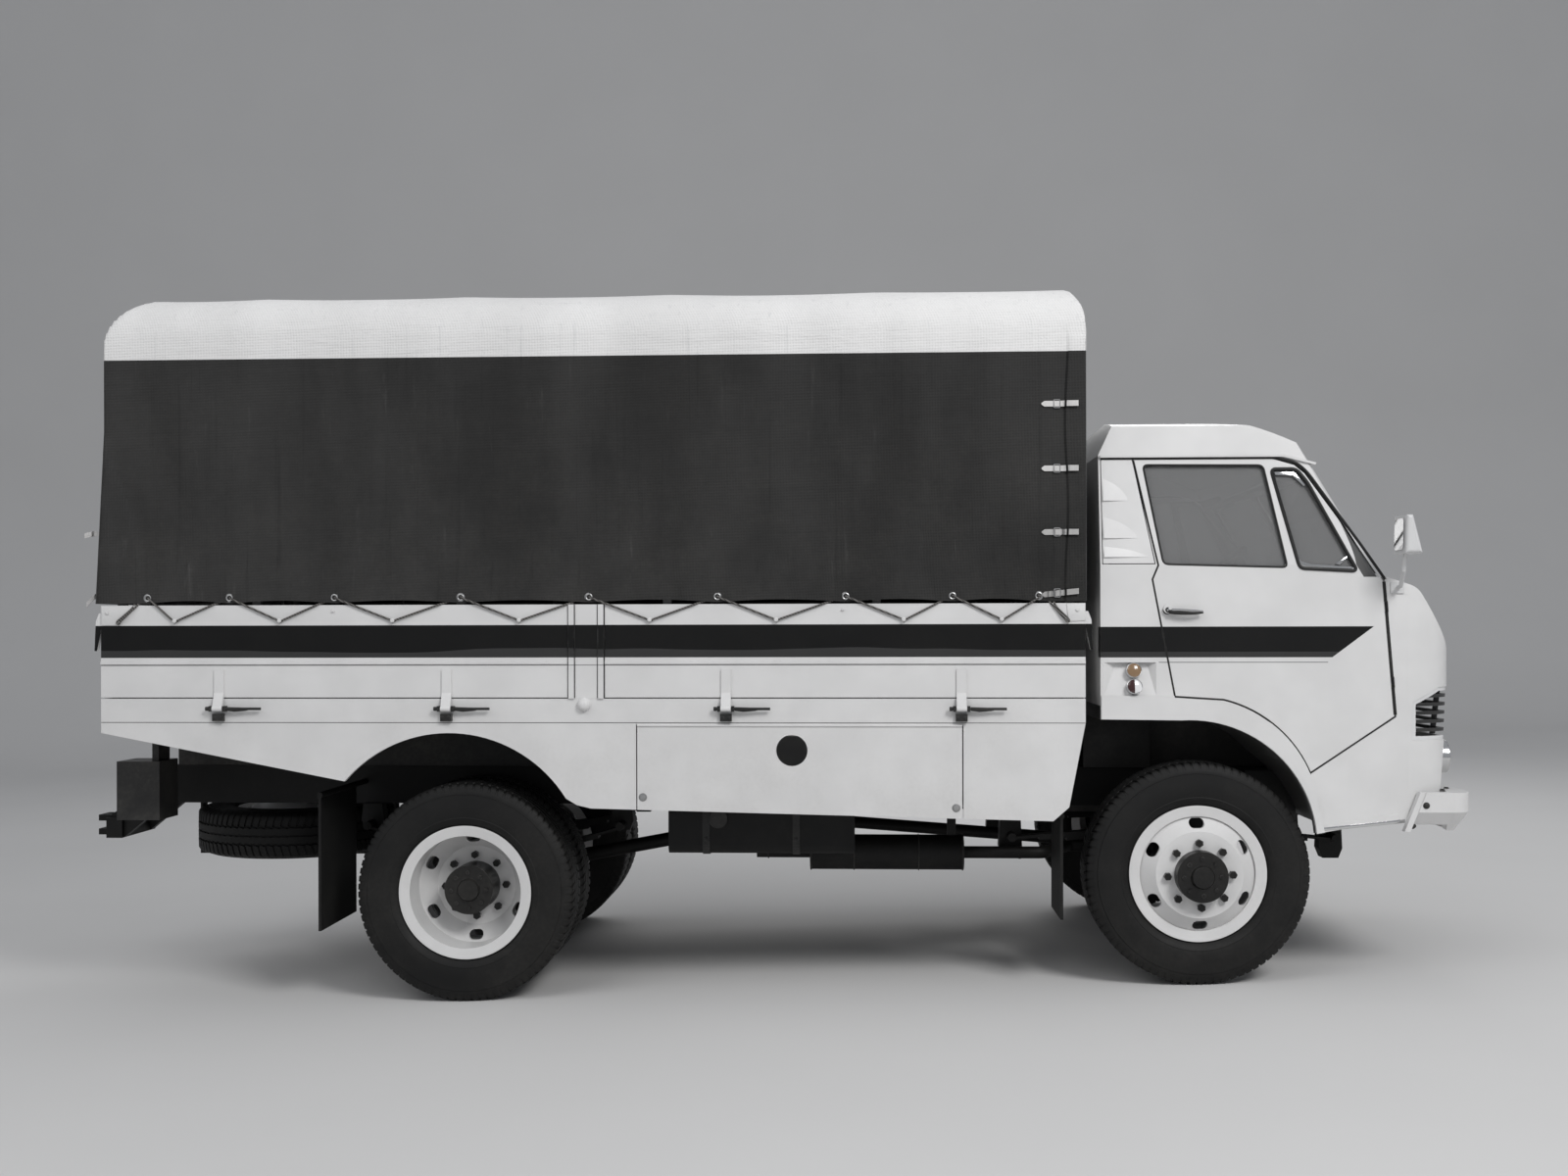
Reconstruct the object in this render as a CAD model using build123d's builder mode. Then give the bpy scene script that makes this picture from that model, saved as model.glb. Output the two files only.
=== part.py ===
"""Military cargo truck, forward control, four driven wheels, dropside bed under a canvas tilt.

Two frames are used. The body's frame has X forward, Y to the left and Z up, with X = 0 at the
rear axle and Z = 0 under the rear tyres. The wheels' frame shares that origin but stands level on
the road, because the body rides slightly nose down. Sizes are in millimetres.
"""
from build123d import *
import os
from math import asin, cos, radians, sin

os.makedirs("parts", exist_ok=True)

# Stance
wheelbase = 3175.0
rake = 1.77                 # degrees that the body leans nose down
tyre_radius = 477.5
rear_hub_z = 480.0          # rear wheel centre in the body's frame
half_width = 1150.0         # bed side to the centre line

# Clearances
seat_gap = 0.3              # between pieces that rest on each other
pin_gap = 0.3               # round a hinge pin or a shaft
run_gap = 5.0               # between pieces that move past each other

# Tyres and wheels
tyre_width = 236.0
tread_width = 190.0
bead_radius = 254.0         # 20 inch rim
flange_radius = 292.0
rim_width = 200.0
rim_wall = 8.0
disc_wall = 12.0
disc_offset = 135.0         # mounting face to the tyre's middle
disc_flat_radius = 185.0
stud_circle_radius = 137.5
stud_count = 8
nut_radius = 17.0
nut_height = 24.0
hand_hole_count = 6
hand_hole_length = 65.0
hand_hole_width = 42.0
hand_hole_radius = 218.0
hub_radius = 108.0
front_tyre_y = 950.0
dual_outer_y = 950.0
dual_inner_y = 680.0
front_drum_radius = 175.0
rear_drum_radius = 185.0
hub_bolt_circle = 78.0
hub_bolt_radius = 9.0
hub_bolt_height = 8.0
hub_cap_radius = 52.0
hub_cap_height = 14.0
front_hub_length = 66.0     # past the front mounting face
rear_hub_length = 165.0

# Axles
kingpin_y = 780.0
kingpin_radius = 18.0
kingpin_boss_radius = 42.0
kingpin_boss_half = 70.0
knuckle_arm_height = 40.0
knuckle_plate_y = 830.0
knuckle_plate_wall = 20.0
backplate_wall = 6.0
front_spindle_radius = 40.0
rear_spindle_radius = 45.0
steering_arm_length = 215.0
steering_arm_drop = 85.0
tie_rod_radius = 15.0
tie_rod_eye_half = 18.0
front_tube_radius = 52.0
rear_tube_radius = 60.0
front_diff_radius = 150.0
rear_diff_radius = 175.0
pinion_reach = 215.0        # hub line to the propeller shaft's flange

# Frame
rail_outer_y = 400.0
rail_flange = 70.0
rail_wall = 8.0
rail_low = 800.0
rail_high = 980.0
frame_rear = -1640.0
frame_front = 4228.0
cross_member_x = (-1600.0, -620.0, 640.0, 1450.0, 2420.0)
spring_y = 460.0
spring_width = 70.0
spring_thickness = 62.0
rear_spring_half = 600.0
rear_spring_eye_z = 704.0
front_spring_half = 740.0
front_spring_eye_z = 660.0
leaf_count = 5
leaf_step = 0.17            # each leaf is shorter than the one above by this part of the longest

# Bed
bed_rear = -1575.0
bed_front = 2684.0
rave_low = 1230.0
rave_high = 1333.0
rave_wall = 40.0
board_low = 1338.0
board_high = 1738.0
board_wall = 30.0
post_rear = 478.0
post_front = 630.0
board_hinge_x = (-1050.0, -51.0, 1157.0, 2160.0)
board_hinge_z = 1290.0
board_hinge_out = 22.0      # hinge line outside the bed's side
barrel_radius = 12.0
barrel_length = 44.0
hinge_pin_radius = 6.0
ridge_z = 1488.0

# Skirts with their locker flaps
skirt_wall = 24.0
skirt_tail_low = 1183.0
arch_radius = 618.5
arch_x = -41.0
arch_z = 566.0
flap_rear = 769.0
flap_front = 2168.0
flap_top = 1218.0
locker_depth = 380.0

# Tilt
tilt_hem = 1746.0
tilt_wall = 12.0
tilt_shoulder = 2870.0
tilt_shoulder_y = 955.0
tilt_edge_top = 3098.0
tilt_crown = 3180.0
bow_width = 36.0
bow_wall = 26.0
# Each hoop's X and how far it lies below the full height
bow_table = ((-1500.0, 245.0), (-900.0, 0.0), (0.0, 0.0), (900.0, 0.0), (1800.0, 0.0), (2620.0, 245.0))

# Cab, front to rear along its centre line
cab_half = 1100.0
cab_wall = 40.0
cab_rear = bed_front + 70.0
cab_low = 1242.0
nose_corner = 250.0
nose_round = 80.0
cowl_round = 100.0
nose_x = 4285.0
cowl_z = 1802.0
belt_z = 1898.0
roof_half = 1024.0
roof_edge_z = 2500.0
tunnel_half = 430.0
wheelhouse_radius = 600.0
pillar_foot_z = 1870.0      # above this the door takes the windscreen pillar's foot with it
shut_gap = 8.0
door_hinge_radius = 8.0
door_hinge_gap = 1.5        # round a hinge barrel in its pocket
door_hinge_length = 44.0
door_hinge_z = (1400.0, 1720.0)

front_hub_x = wheelbase * cos(radians(rake))
front_hub_z = rear_hub_z + wheelbase * sin(radians(rake))
SIDES = ((-1, "right"), (1, "left"))
finished = []


def side(y):
    """Upright plane along the truck at the given Y; its local axes are X and Z."""
    return Plane(origin=(0, y, 0), x_dir=(1, 0, 0), z_dir=(0, -1, 0))


def across(x):
    """Upright plane across the truck at the given X; its local axes are Y and Z."""
    return Plane.YZ.offset(x)


def level(z):
    """Flat plane at the given height."""
    return Plane.XY.offset(z)


def block(x, y, z, mode=Mode.ADD):
    """Straight block between two X, two Y and two Z values, each pair in any order."""
    with Locations(((x[0] + x[1]) / 2, (y[0] + y[1]) / 2, (z[0] + z[1]) / 2)):
        Box(abs(x[1] - x[0]), abs(y[1] - y[0]), abs(z[1] - z[0]), mode=mode)


def prism(plane, points, depth, rounded=0.0, both=False, mode=Mode.ADD):
    """Outline through the points, its corners rounded, extruded along the plane's normal."""
    with BuildSketch(plane) as outline:
        with BuildLine():
            Polyline(*points, close=True)
        make_face()
        if rounded > 0:
            fillet(outline.vertices(), rounded)
    extrude(outline.sketch, amount=depth, both=both, mode=mode)


def rod(start, end, radius, mode=Mode.ADD):
    """Round bar from one point to another."""
    line = Vector(*end) - Vector(*start)
    with BuildSketch(Plane(origin=start, z_dir=line.normalized())) as circle:
        Circle(radius)
    extrude(circle.sketch, amount=line.length, mode=mode)


def finish(piece, label, standing="body"):
    """Name a finished piece and note which frame it was drawn in."""
    piece.part.label = label
    finished.append((piece, standing))


# Wheels, drawn in the wheels' frame
def tyre_outline(middle_y, hub_z):
    """Half section of a tyre, from the bead seat to the tread."""
    half = tyre_width / 2
    bead = rim_width / 2 - 15
    shoulder = tread_width / 2
    low = hub_z + bead_radius + seat_gap
    lip = hub_z + flange_radius + 4
    tread = hub_z + tyre_radius
    with BuildLine() as edge:
        Polyline((middle_y + bead, lip), (middle_y + bead, low), (middle_y - bead, low),
                 (middle_y - bead, lip), (middle_y - bead - 16, lip + 4))
        ThreePointArc((middle_y - bead - 16, lip + 4), (middle_y - half, lip + 70),
                      (middle_y - half + 8, tread - 38))
        Polyline((middle_y - half + 8, tread - 38), (middle_y - shoulder - 4, tread - 10),
                 (middle_y - shoulder + 4, tread), (middle_y + shoulder - 4, tread),
                 (middle_y + shoulder + 4, tread - 10), (middle_y + half - 8, tread - 38))
        ThreePointArc((middle_y + half - 8, tread - 38), (middle_y + half, lip + 70),
                      (middle_y + bead + 16, lip + 4))
        Line((middle_y + bead + 16, lip + 4), (middle_y + bead, lip))
    make_face(edge.edges())


def rim_outline(middle_y, hub_z):
    """Section of the rim band that carries the tyre."""
    half = rim_width / 2
    seat = hub_z + bead_radius
    lip = hub_z + flange_radius
    with BuildLine() as edge:
        Polyline((middle_y + half, lip), (middle_y + half - 8, lip), (middle_y + half - 15, seat),
                 (middle_y - half + 15, seat), (middle_y - half + 8, lip), (middle_y - half, lip),
                 (middle_y - half, lip - 6), (middle_y - half + 7, seat - rim_wall),
                 (middle_y + half - 7, seat - rim_wall), (middle_y + half, lip - 6), close=True)
    make_face(edge.edges())


def disc_outline(face_y, toward, hub_z, bore):
    """Section of the dished disc: flat round the hub, then a cone out to the rim band."""
    reach = toward * 58
    wall = toward * disc_wall
    rim_z = hub_z + bead_radius - rim_wall + 2
    with BuildLine() as edge:
        Polyline((face_y, hub_z + bore), (face_y, hub_z + disc_flat_radius), (face_y + reach, rim_z),
                 (face_y + reach + 1.5 * wall, rim_z), (face_y + wall, hub_z + disc_flat_radius - 8),
                 (face_y + wall, hub_z + bore), close=True)
    make_face(edge.edges())


def ring(y0, y1, inner, outer, hub_z):
    """Plain ring section between two Y values."""
    with BuildLine() as edge:
        Polyline((y0, hub_z + inner), (y1, hub_z + inner), (y1, hub_z + outer),
                 (y0, hub_z + outer), close=True)
    make_face(edge.edges())


def hand_holes_and_nuts(hub_x, hub_z, face_y, out, cut_depth):
    """Oval hand holes through the disc and a ring of wheel nuts on its face."""
    face = Plane(origin=(hub_x, face_y, hub_z), x_dir=(1, 0, 0), z_dir=(0, out, 0))
    with BuildSketch(face) as holes:
        with PolarLocations(hand_hole_radius, hand_hole_count, 30):
            SlotOverall(hand_hole_length, hand_hole_width, rotation=90)
    extrude(holes.sketch, amount=cut_depth, both=True, mode=Mode.SUBTRACT)
    with BuildSketch(face) as nuts:
        with PolarLocations(stud_circle_radius, stud_count):
            RegularPolygon(nut_radius, 6)
    extrude(nuts.sketch, amount=nut_height)


def hub_end(hub_x, hub_z, end_y, out):
    """Ring of bolts and the tapered cap on the end of a hub."""
    face = Plane(origin=(hub_x, end_y, hub_z), x_dir=(1, 0, 0), z_dir=(0, out, 0))
    with BuildSketch(face) as bolts:
        with PolarLocations(hub_bolt_circle, stud_count):
            RegularPolygon(hub_bolt_radius, 6)
    extrude(bolts.sketch, amount=hub_bolt_height)
    with BuildSketch(face) as cap:
        Circle(hub_cap_radius)
    extrude(cap.sketch, amount=hub_cap_height, taper=30)


for s, hand in SIDES:
    with BuildPart() as tyre_front:
        with BuildSketch(across(wheelbase)):
            tyre_outline(s * front_tyre_y, tyre_radius)
        revolve(axis=Axis((wheelbase, 0, tyre_radius), (0, 1, 0)))
    finish(tyre_front, f"tyre_front_{hand}", "road")

    with BuildPart() as tyre_rear:
        for middle in (dual_outer_y, dual_inner_y):
            with BuildSketch(across(0)) as section:
                tyre_outline(s * middle, tyre_radius)
            revolve(section.sketch, axis=Axis((0, 0, tyre_radius), (0, 1, 0)))
    finish(tyre_rear, f"tyre_rear_{hand}", "road")

    front_face_y = front_tyre_y + disc_offset
    front_drum_y = knuckle_plate_y + knuckle_plate_wall + backplate_wall + run_gap
    with BuildPart() as rim_front:
        with BuildSketch(across(wheelbase)) as section:
            bore = front_spindle_radius + pin_gap
            rim_outline(s * front_tyre_y, tyre_radius)
            disc_outline(s * front_face_y, -s, tyre_radius, bore)
            ring(s * front_drum_y, s * (front_face_y - disc_wall), bore, front_drum_radius, tyre_radius)
            ring(s * front_face_y, s * (front_face_y + front_hub_length), 0, hub_radius, tyre_radius)
        revolve(section.sketch, axis=Axis((wheelbase, 0, tyre_radius), (0, 1, 0)))
        hand_holes_and_nuts(wheelbase, tyre_radius, s * front_face_y, s, 80)
        hub_end(wheelbase, tyre_radius, s * (front_face_y + front_hub_length), s)
    finish(rim_front, f"rim_front_{hand}", "road")

    rear_face_y = dual_outer_y - disc_offset
    rear_drum_y = 601.0
    with BuildPart() as rim_rear:
        with BuildSketch(across(0)) as section:
            bore = rear_spindle_radius + pin_gap
            rim_outline(s * dual_outer_y, tyre_radius)
            rim_outline(s * dual_inner_y, tyre_radius)
            disc_outline(s * rear_face_y, s, tyre_radius, bore)
            disc_outline(s * rear_face_y, -s, tyre_radius, bore)
            ring(s * rear_drum_y, s * (rear_face_y - disc_wall), bore, rear_drum_radius, tyre_radius)
            ring(s * (rear_face_y + disc_wall), s * (rear_face_y + rear_hub_length), 0, hub_radius,
                 tyre_radius)
        revolve(section.sketch, axis=Axis((0, 0, tyre_radius), (0, 1, 0)))
        hand_holes_and_nuts(0, tyre_radius, s * (rear_face_y + disc_wall), s, 100)
        hub_end(0, tyre_radius, s * (rear_face_y + rear_hub_length), s)
    finish(rim_rear, f"rim_rear_{hand}", "road")

    # Steering knuckle: arms above and below the axle's boss, kingpin, backplate and spindle
    arm_z = kingpin_boss_half + seat_gap
    with BuildPart() as knuckle:
        for low in (arm_z, -arm_z - knuckle_arm_height):
            block((wheelbase - 40, wheelbase + 40), (s * (kingpin_y - 45), s * knuckle_plate_y),
                  (tyre_radius + low, tyre_radius + low + knuckle_arm_height))
        rod((wheelbase, s * kingpin_y, tyre_radius - arm_z - 10),
            (wheelbase, s * kingpin_y, tyre_radius + arm_z + 10), kingpin_radius)
        block((wheelbase - 60, wheelbase + 60), (s * knuckle_plate_y, s * (knuckle_plate_y + knuckle_plate_wall)),
              (tyre_radius - arm_z - knuckle_arm_height, tyre_radius + arm_z + knuckle_arm_height))
        backplate_y = knuckle_plate_y + knuckle_plate_wall
        rod((wheelbase, s * backplate_y, tyre_radius),
            (wheelbase, s * (backplate_y + backplate_wall), tyre_radius), front_drum_radius)
        rod((wheelbase, s * backplate_y, tyre_radius),
            (wheelbase, s * (front_face_y - disc_wall), tyre_radius), front_spindle_radius)
        arm_top = tyre_radius - steering_arm_drop
        block((wheelbase - steering_arm_length, wheelbase - 30), (s * (kingpin_y - 20), s * (kingpin_y + 20)),
              (arm_top - 25, arm_top))
        rod((wheelbase - steering_arm_length, s * kingpin_y, arm_top - 25),
            (wheelbase - steering_arm_length, s * kingpin_y, arm_top), 26)
        rod((wheelbase - steering_arm_length, s * kingpin_y, arm_top - 25),
            (wheelbase - steering_arm_length, s * kingpin_y, arm_top), 10 + pin_gap, mode=Mode.SUBTRACT)
    finish(knuckle, f"knuckle_{hand}", "road")

# Tie rod across both steering arms
arm_x = wheelbase - steering_arm_length
with BuildPart() as tie_rod:
    rod_z = tyre_radius - steering_arm_drop + seat_gap + tie_rod_eye_half
    rod((arm_x, -kingpin_y, rod_z), (arm_x, kingpin_y, rod_z), tie_rod_radius)
    for s, hand in SIDES:
        eye = (arm_x, s * kingpin_y, rod_z - tie_rod_eye_half)
        rod(eye, (arm_x, s * kingpin_y, rod_z + tie_rod_eye_half), 24)
        rod((arm_x, s * kingpin_y, eye[2] - 25), (arm_x, s * kingpin_y, rod_z), 10)
finish(tie_rod, "tie_rod", "road")

# Axles, drawn in the body's frame so that their spring pads lie along the springs
kingpin_lean = Vector(-sin(radians(rake)), 0, cos(radians(rake)))
pad_low = 30.0
pad_high = 62.0
with BuildPart() as front_axle:
    rod((front_hub_x, -kingpin_y, front_hub_z), (front_hub_x, kingpin_y, front_hub_z), front_tube_radius)
    rod((front_hub_x, -110, front_hub_z), (front_hub_x, 110, front_hub_z), front_diff_radius)
    rod((front_hub_x - pinion_reach, 0, front_hub_z), (front_hub_x, 0, front_hub_z), 55)
    for s, hand in SIDES:
        middle = Vector(front_hub_x, s * kingpin_y, front_hub_z)
        foot = middle - kingpin_lean * kingpin_boss_half
        head = middle + kingpin_lean * kingpin_boss_half
        block((front_hub_x - 80, front_hub_x + 80), (s * kingpin_y, s * (kingpin_y + 80)),
              (front_hub_z - 70, front_hub_z + 70), mode=Mode.SUBTRACT)
        rod(tuple(foot), tuple(head), kingpin_boss_radius)
        rod(tuple(foot - kingpin_lean), tuple(head + kingpin_lean), kingpin_radius + pin_gap,
            mode=Mode.SUBTRACT)
        block((front_hub_x - 60, front_hub_x + 60), (s * (spring_y - 42), s * (spring_y + 42)),
              (front_hub_z + pad_low, front_hub_z + pad_high))
finish(front_axle, "front_axle")

backplate_y = rear_drum_y - run_gap
with BuildPart() as rear_axle:
    rod((0, -backplate_y, rear_hub_z), (0, backplate_y, rear_hub_z), rear_tube_radius)
    rod((0, -110, rear_hub_z), (0, 110, rear_hub_z), rear_diff_radius)
    rod((0, 0, rear_hub_z), (pinion_reach, 0, rear_hub_z), 62)
    for s, hand in SIDES:
        rod((0, s * (backplate_y - backplate_wall), rear_hub_z), (0, s * backplate_y, rear_hub_z),
            rear_drum_radius)
        rod((0, s * backplate_y, rear_hub_z), (0, s * (rear_face_y + disc_wall - run_gap), rear_hub_z),
            rear_spindle_radius)
        block((-70, 70), (s * (spring_y - 42), s * (spring_y + 42)),
              (rear_hub_z + pad_low, rear_hub_z + pad_high))
finish(rear_axle, "rear_axle")

# Leaf springs: packs of leaves that shorten downwards, eyes on pins, and hangers under the rails
def leaf_pack(hub_x, seat, half, eye):
    """Outline of a pack in side view: every leaf is bent to the same centre."""
    top = seat + spring_thickness
    rise = eye - top
    bend = (half ** 2 + rise ** 2) / (2 * rise)     # signed radius of the longest leaf
    leaf = spring_thickness / leaf_count
    with BuildSketch(side(0)) as pack:
        for n in range(leaf_count):
            reach = half * (1 - leaf_step * n)
            upper, lower = bend + n * leaf, bend + (n + 1) * leaf
            high = top + bend - upper * cos(asin(reach / upper))
            low = top + bend - lower * cos(asin(reach / lower))
            with BuildLine() as edge:
                ThreePointArc((hub_x - reach, high), (hub_x, top + bend - upper), (hub_x + reach, high))
                Line((hub_x + reach, high), (hub_x + reach, low))
                ThreePointArc((hub_x + reach, low), (hub_x, top + bend - lower), (hub_x - reach, low))
                Line((hub_x - reach, low), (hub_x - reach, high))
            make_face(edge.edges())
    return pack.sketch


# Hub X, hub Z, half length, Z of the eyes, lowest Z of the hangers
spring_table = ((0.0, rear_hub_z, rear_spring_half, rear_spring_eye_z, rear_spring_eye_z - 26),
                (front_hub_x, front_hub_z, front_spring_half, front_spring_eye_z, 560.0))
eye_radius = 20.0
hanger_half = 39.0
with BuildPart() as leaf_springs:
    for hub_x, hub_z, half, eye, hanger_low in spring_table:
        seat = hub_z + pad_high + 2 * seat_gap
        pack = leaf_pack(hub_x, seat, half, eye)
        for s, hand in SIDES:
            extrude(pack.moved(Location((0, s * spring_y + spring_width / 2, 0))), amount=spring_width)
            block((hub_x - 52, hub_x + 52), (s * (spring_y - 40), s * (spring_y + 40)),
                  (seat + spring_thickness - 3, seat + spring_thickness + 12))
            for end in (hub_x - half, hub_x + half):
                rod((end, s * (rail_outer_y - 60), eye), (end, s * (spring_y + 48), eye), eye_radius)
                hanger = ((end - 36, hanger_low), (end + 36, hanger_low), (end + 54, hanger_low + 45),
                          (end + 45, rail_low - seat_gap), (end - 45, rail_low - seat_gap),
                          (end - 54, hanger_low + 45))
                prism(side(s * (rail_outer_y - 21) + hanger_half), hanger, 2 * hanger_half)
finish(leaf_springs, "leaf_springs")

# Ladder frame: two channels that open inward, cross members and the posts that carry the cab
with BuildPart() as chassis_frame:
    for s, hand in SIDES:
        web = s * rail_outer_y
        flange = s * (rail_outer_y - rail_flange)
        block((frame_rear, frame_front), (web, flange), (rail_low, rail_high))
        block((frame_rear - 1, frame_front + 1), (web - s * rail_wall, flange - s),
              (rail_low + rail_wall, rail_high - rail_wall), mode=Mode.SUBTRACT)
    inner = rail_outer_y - rail_wall
    for x in cross_member_x:
        block((x, x + 80), (-inner, inner), (rail_low + 20, rail_high - 20))
        block((x + 8, x + 81), (-inner + rail_flange, inner - rail_flange),
              (rail_low + 28, rail_high - 28), mode=Mode.SUBTRACT)
    for s, hand in SIDES:
        for x in (cab_rear + 40, 3990):
            block((x, x + 60), (s * rail_outer_y, s * (rail_outer_y - 60)), (rail_high - 1, cab_low - seat_gap))
finish(chassis_frame, "chassis_frame")

# Engine and gearbox as one plain mass between the rails
web_inner = rail_outer_y - rail_wall - seat_gap
gearbox_rear = 2560.0
engine_low = 745.0
with BuildPart() as engine:
    block((3080, 3880), (-290, 290), (engine_low, 1215))
    block((gearbox_rear, 3080), (-170, 170), (engine_low, 1120))
    for x in (3150, 3760):
        block((x, x + 80), (-web_inner, web_inner), (840, 900))
finish(engine, "engine")

with BuildPart() as radiator:
    block((3980, 4050), (-315, 315), (rail_low + 40, 1225))
    block((3990, 4040), (-web_inner, web_inner), (850, 930))
finish(radiator, "radiator")

# Transfer case under its cross member, and the three propeller shafts
transfer_x = (1330.0, 1650.0)
transfer_z = (600.0, rail_low + 20 - seat_gap)
with BuildPart() as driveline:
    block(transfer_x, (-190, 190), transfer_z)
    rear_flange = pinion_reach + seat_gap
    rod((rear_flange, 0, rear_hub_z), (rear_flange + 24, 0, rear_hub_z), 58)
    rod((rear_flange + 20, 0, rear_hub_z), (transfer_x[0] + 20, 0, 690), 34)
    front_flange = front_hub_x - pinion_reach - seat_gap
    rod((front_flange, 0, front_hub_z), (front_flange - 24, 0, front_hub_z), 50)
    rod((front_flange - 20, 0, front_hub_z), (transfer_x[1] - 20, 120, 660), 30)
    rod((gearbox_rear - seat_gap, 0, 790), (gearbox_rear - 24, 0, 790), 42)
    rod((gearbox_rear - 20, 0, 785), (transfer_x[1] - 20, -40, 740), 32)
finish(driveline, "driveline")

# Fuel tank on the right, air reservoirs on the left
tank_top = 846.0
with BuildPart() as tanks:
    block((878, 1704), (-900, -570), (633, tank_top))
    fillet(tanks.edges().filter_by(Axis.X), 40)
    for x in (1000, 1400):
        block((x, x + 60), (-640, -rail_outer_y - seat_gap), (tank_top - 44, tank_top - 10))
    for x in (880, 1290):
        rod((x, 680, 730), (x + 380, 680, 730), 108)
        block((x + 160, x + 220), (rail_outer_y + seat_gap, 680), (810, 838))
finish(tanks, "tanks")

# Silencer and its pipes
silencer_x = (1496.0, 2208.0)
silencer_y = -485.0
silencer_z = 589.0
silencer_radius = 81.0
pipe_radius = 28.0
downpipe = (3112.0, -235.0)
with BuildPart() as exhaust:
    rod((silencer_x[0], silencer_y, silencer_z), (silencer_x[1], silencer_y, silencer_z), silencer_radius)
    with BuildLine() as pipe:
        FilletPolyline((silencer_x[1] - 8, silencer_y, silencer_z), (2575, silencer_y, silencer_z),
                       (2725, downpipe[1], silencer_z), (2880, downpipe[1], silencer_z),
                       (downpipe[0], downpipe[1], 672), (downpipe[0], downpipe[1], engine_low - seat_gap), radius=45)
    with BuildSketch(Plane(origin=(silencer_x[1] - 8, silencer_y, silencer_z), z_dir=(1, 0, 0))) as bore:
        Circle(pipe_radius)
    sweep(bore.sketch, path=pipe.wires()[0])
    rod((silencer_x[0], silencer_y, silencer_z), (silencer_x[0] - 250, silencer_y, silencer_z), pipe_radius)
    for x in (silencer_x[0] + 150, silencer_x[1] - 75):
        block((x, x + 40), (silencer_y - 15, silencer_y + 15), (silencer_z + 60, 860))
        block((x, x + 40), (silencer_y - 15, -rail_outer_y - seat_gap), (830, 860))
finish(exhaust, "exhaust")

# Spare wheel lying under the rear overhang, held up by its carrier
spare_x = -1105.0
spare_z = 648.0
spare_axis = Axis((spare_x, 0, spare_z), (0, 0, 1))
spare_plane = Plane(origin=(spare_x, 0, spare_z), x_dir=(0, 0, 1), z_dir=(0, 1, 0))
with BuildPart() as spare_wheel:
    with BuildSketch(spare_plane) as section:
        tyre_outline(0, 0)
    revolve(section.sketch, axis=spare_axis)
    with BuildSketch(spare_plane) as section:
        rim_outline(0, 0)
        disc_outline(disc_offset, -1, 0, 111)
    revolve(section.sketch, axis=spare_axis)
finish(spare_wheel, "spare_wheel")

with BuildPart() as spare_carrier:
    tray = spare_z - tyre_width / 2 - 1
    ends = (cross_member_x[0] + 1, cross_member_x[1] + 20)
    block(ends, (-30, 30), (tray - 24, tray))
    for x in (ends[0], ends[1] - 12):
        block((x, x + 12), (-30, 30), (tray - 24, rail_low + 20 - seat_gap))
finish(spare_carrier, "spare_carrier")

# Tow coupling: a jaw with an upright bore, on two arms that slope down from the frame's end
jaw_rear = -2110.0
jaw_bore_x = -2065.0
jaw_bore_radius = 20.0
with BuildPart() as tow_coupling:
    plate_x = frame_rear - seat_gap
    block((plate_x - 14, plate_x), (-rail_outer_y, rail_outer_y), (rail_low + 15, rail_high - 15))
    for y in (-170, 130):
        prism(side(y + 40), ((plate_x - 10, 960), (plate_x - 10, 830), (-1930, 600), (-2010, 600), (-2010, 700)), 40)
    block((-2010, -1930), (-190, 190), (600, 700))
    block((jaw_rear, -2005), (-60, 60), (670, 700))
    block((jaw_rear, -2005), (-60, 60), (600, 630))
    rod((jaw_bore_x, 0, 599), (jaw_bore_x, 0, 701), jaw_bore_radius, mode=Mode.SUBTRACT)
finish(tow_coupling, "tow_coupling")

# Tail lamps on hangers under the deck
bearer_low = 1180.0
with BuildPart() as tail_lamps:
    for s, hand in SIDES:
        block((-1647, -1449), (s * 650, s * 850), (768, 1034))
        block((-1500, -1470), (s * 690, s * 810), (1000, bearer_low - seat_gap))
        for z in (832, 901, 970):
            rod((-1657, s * 750, z), (-1646, s * 750, z), 28)
finish(tail_lamps, "tail_lamps")

# Mudflaps hang from arms on the rails
# X, |Y| inside, |Y| outside, lowest Z, Z of the arm
flap_table = ((-640.0, 560, 1060, 309, 905), (front_hub_x - 583, 750, 1080, 383, 826))
with BuildPart() as mudflaps:
    for x, inner, outer, low, arm_z in flap_table:
        for s, hand in SIDES:
            block((x - 6, x + 6), (s * inner, s * outer), (low, arm_z))
            rod((x, s * (rail_outer_y + seat_gap), arm_z), (x, s * outer, arm_z), 13)
finish(mudflaps, "mudflaps")

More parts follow.
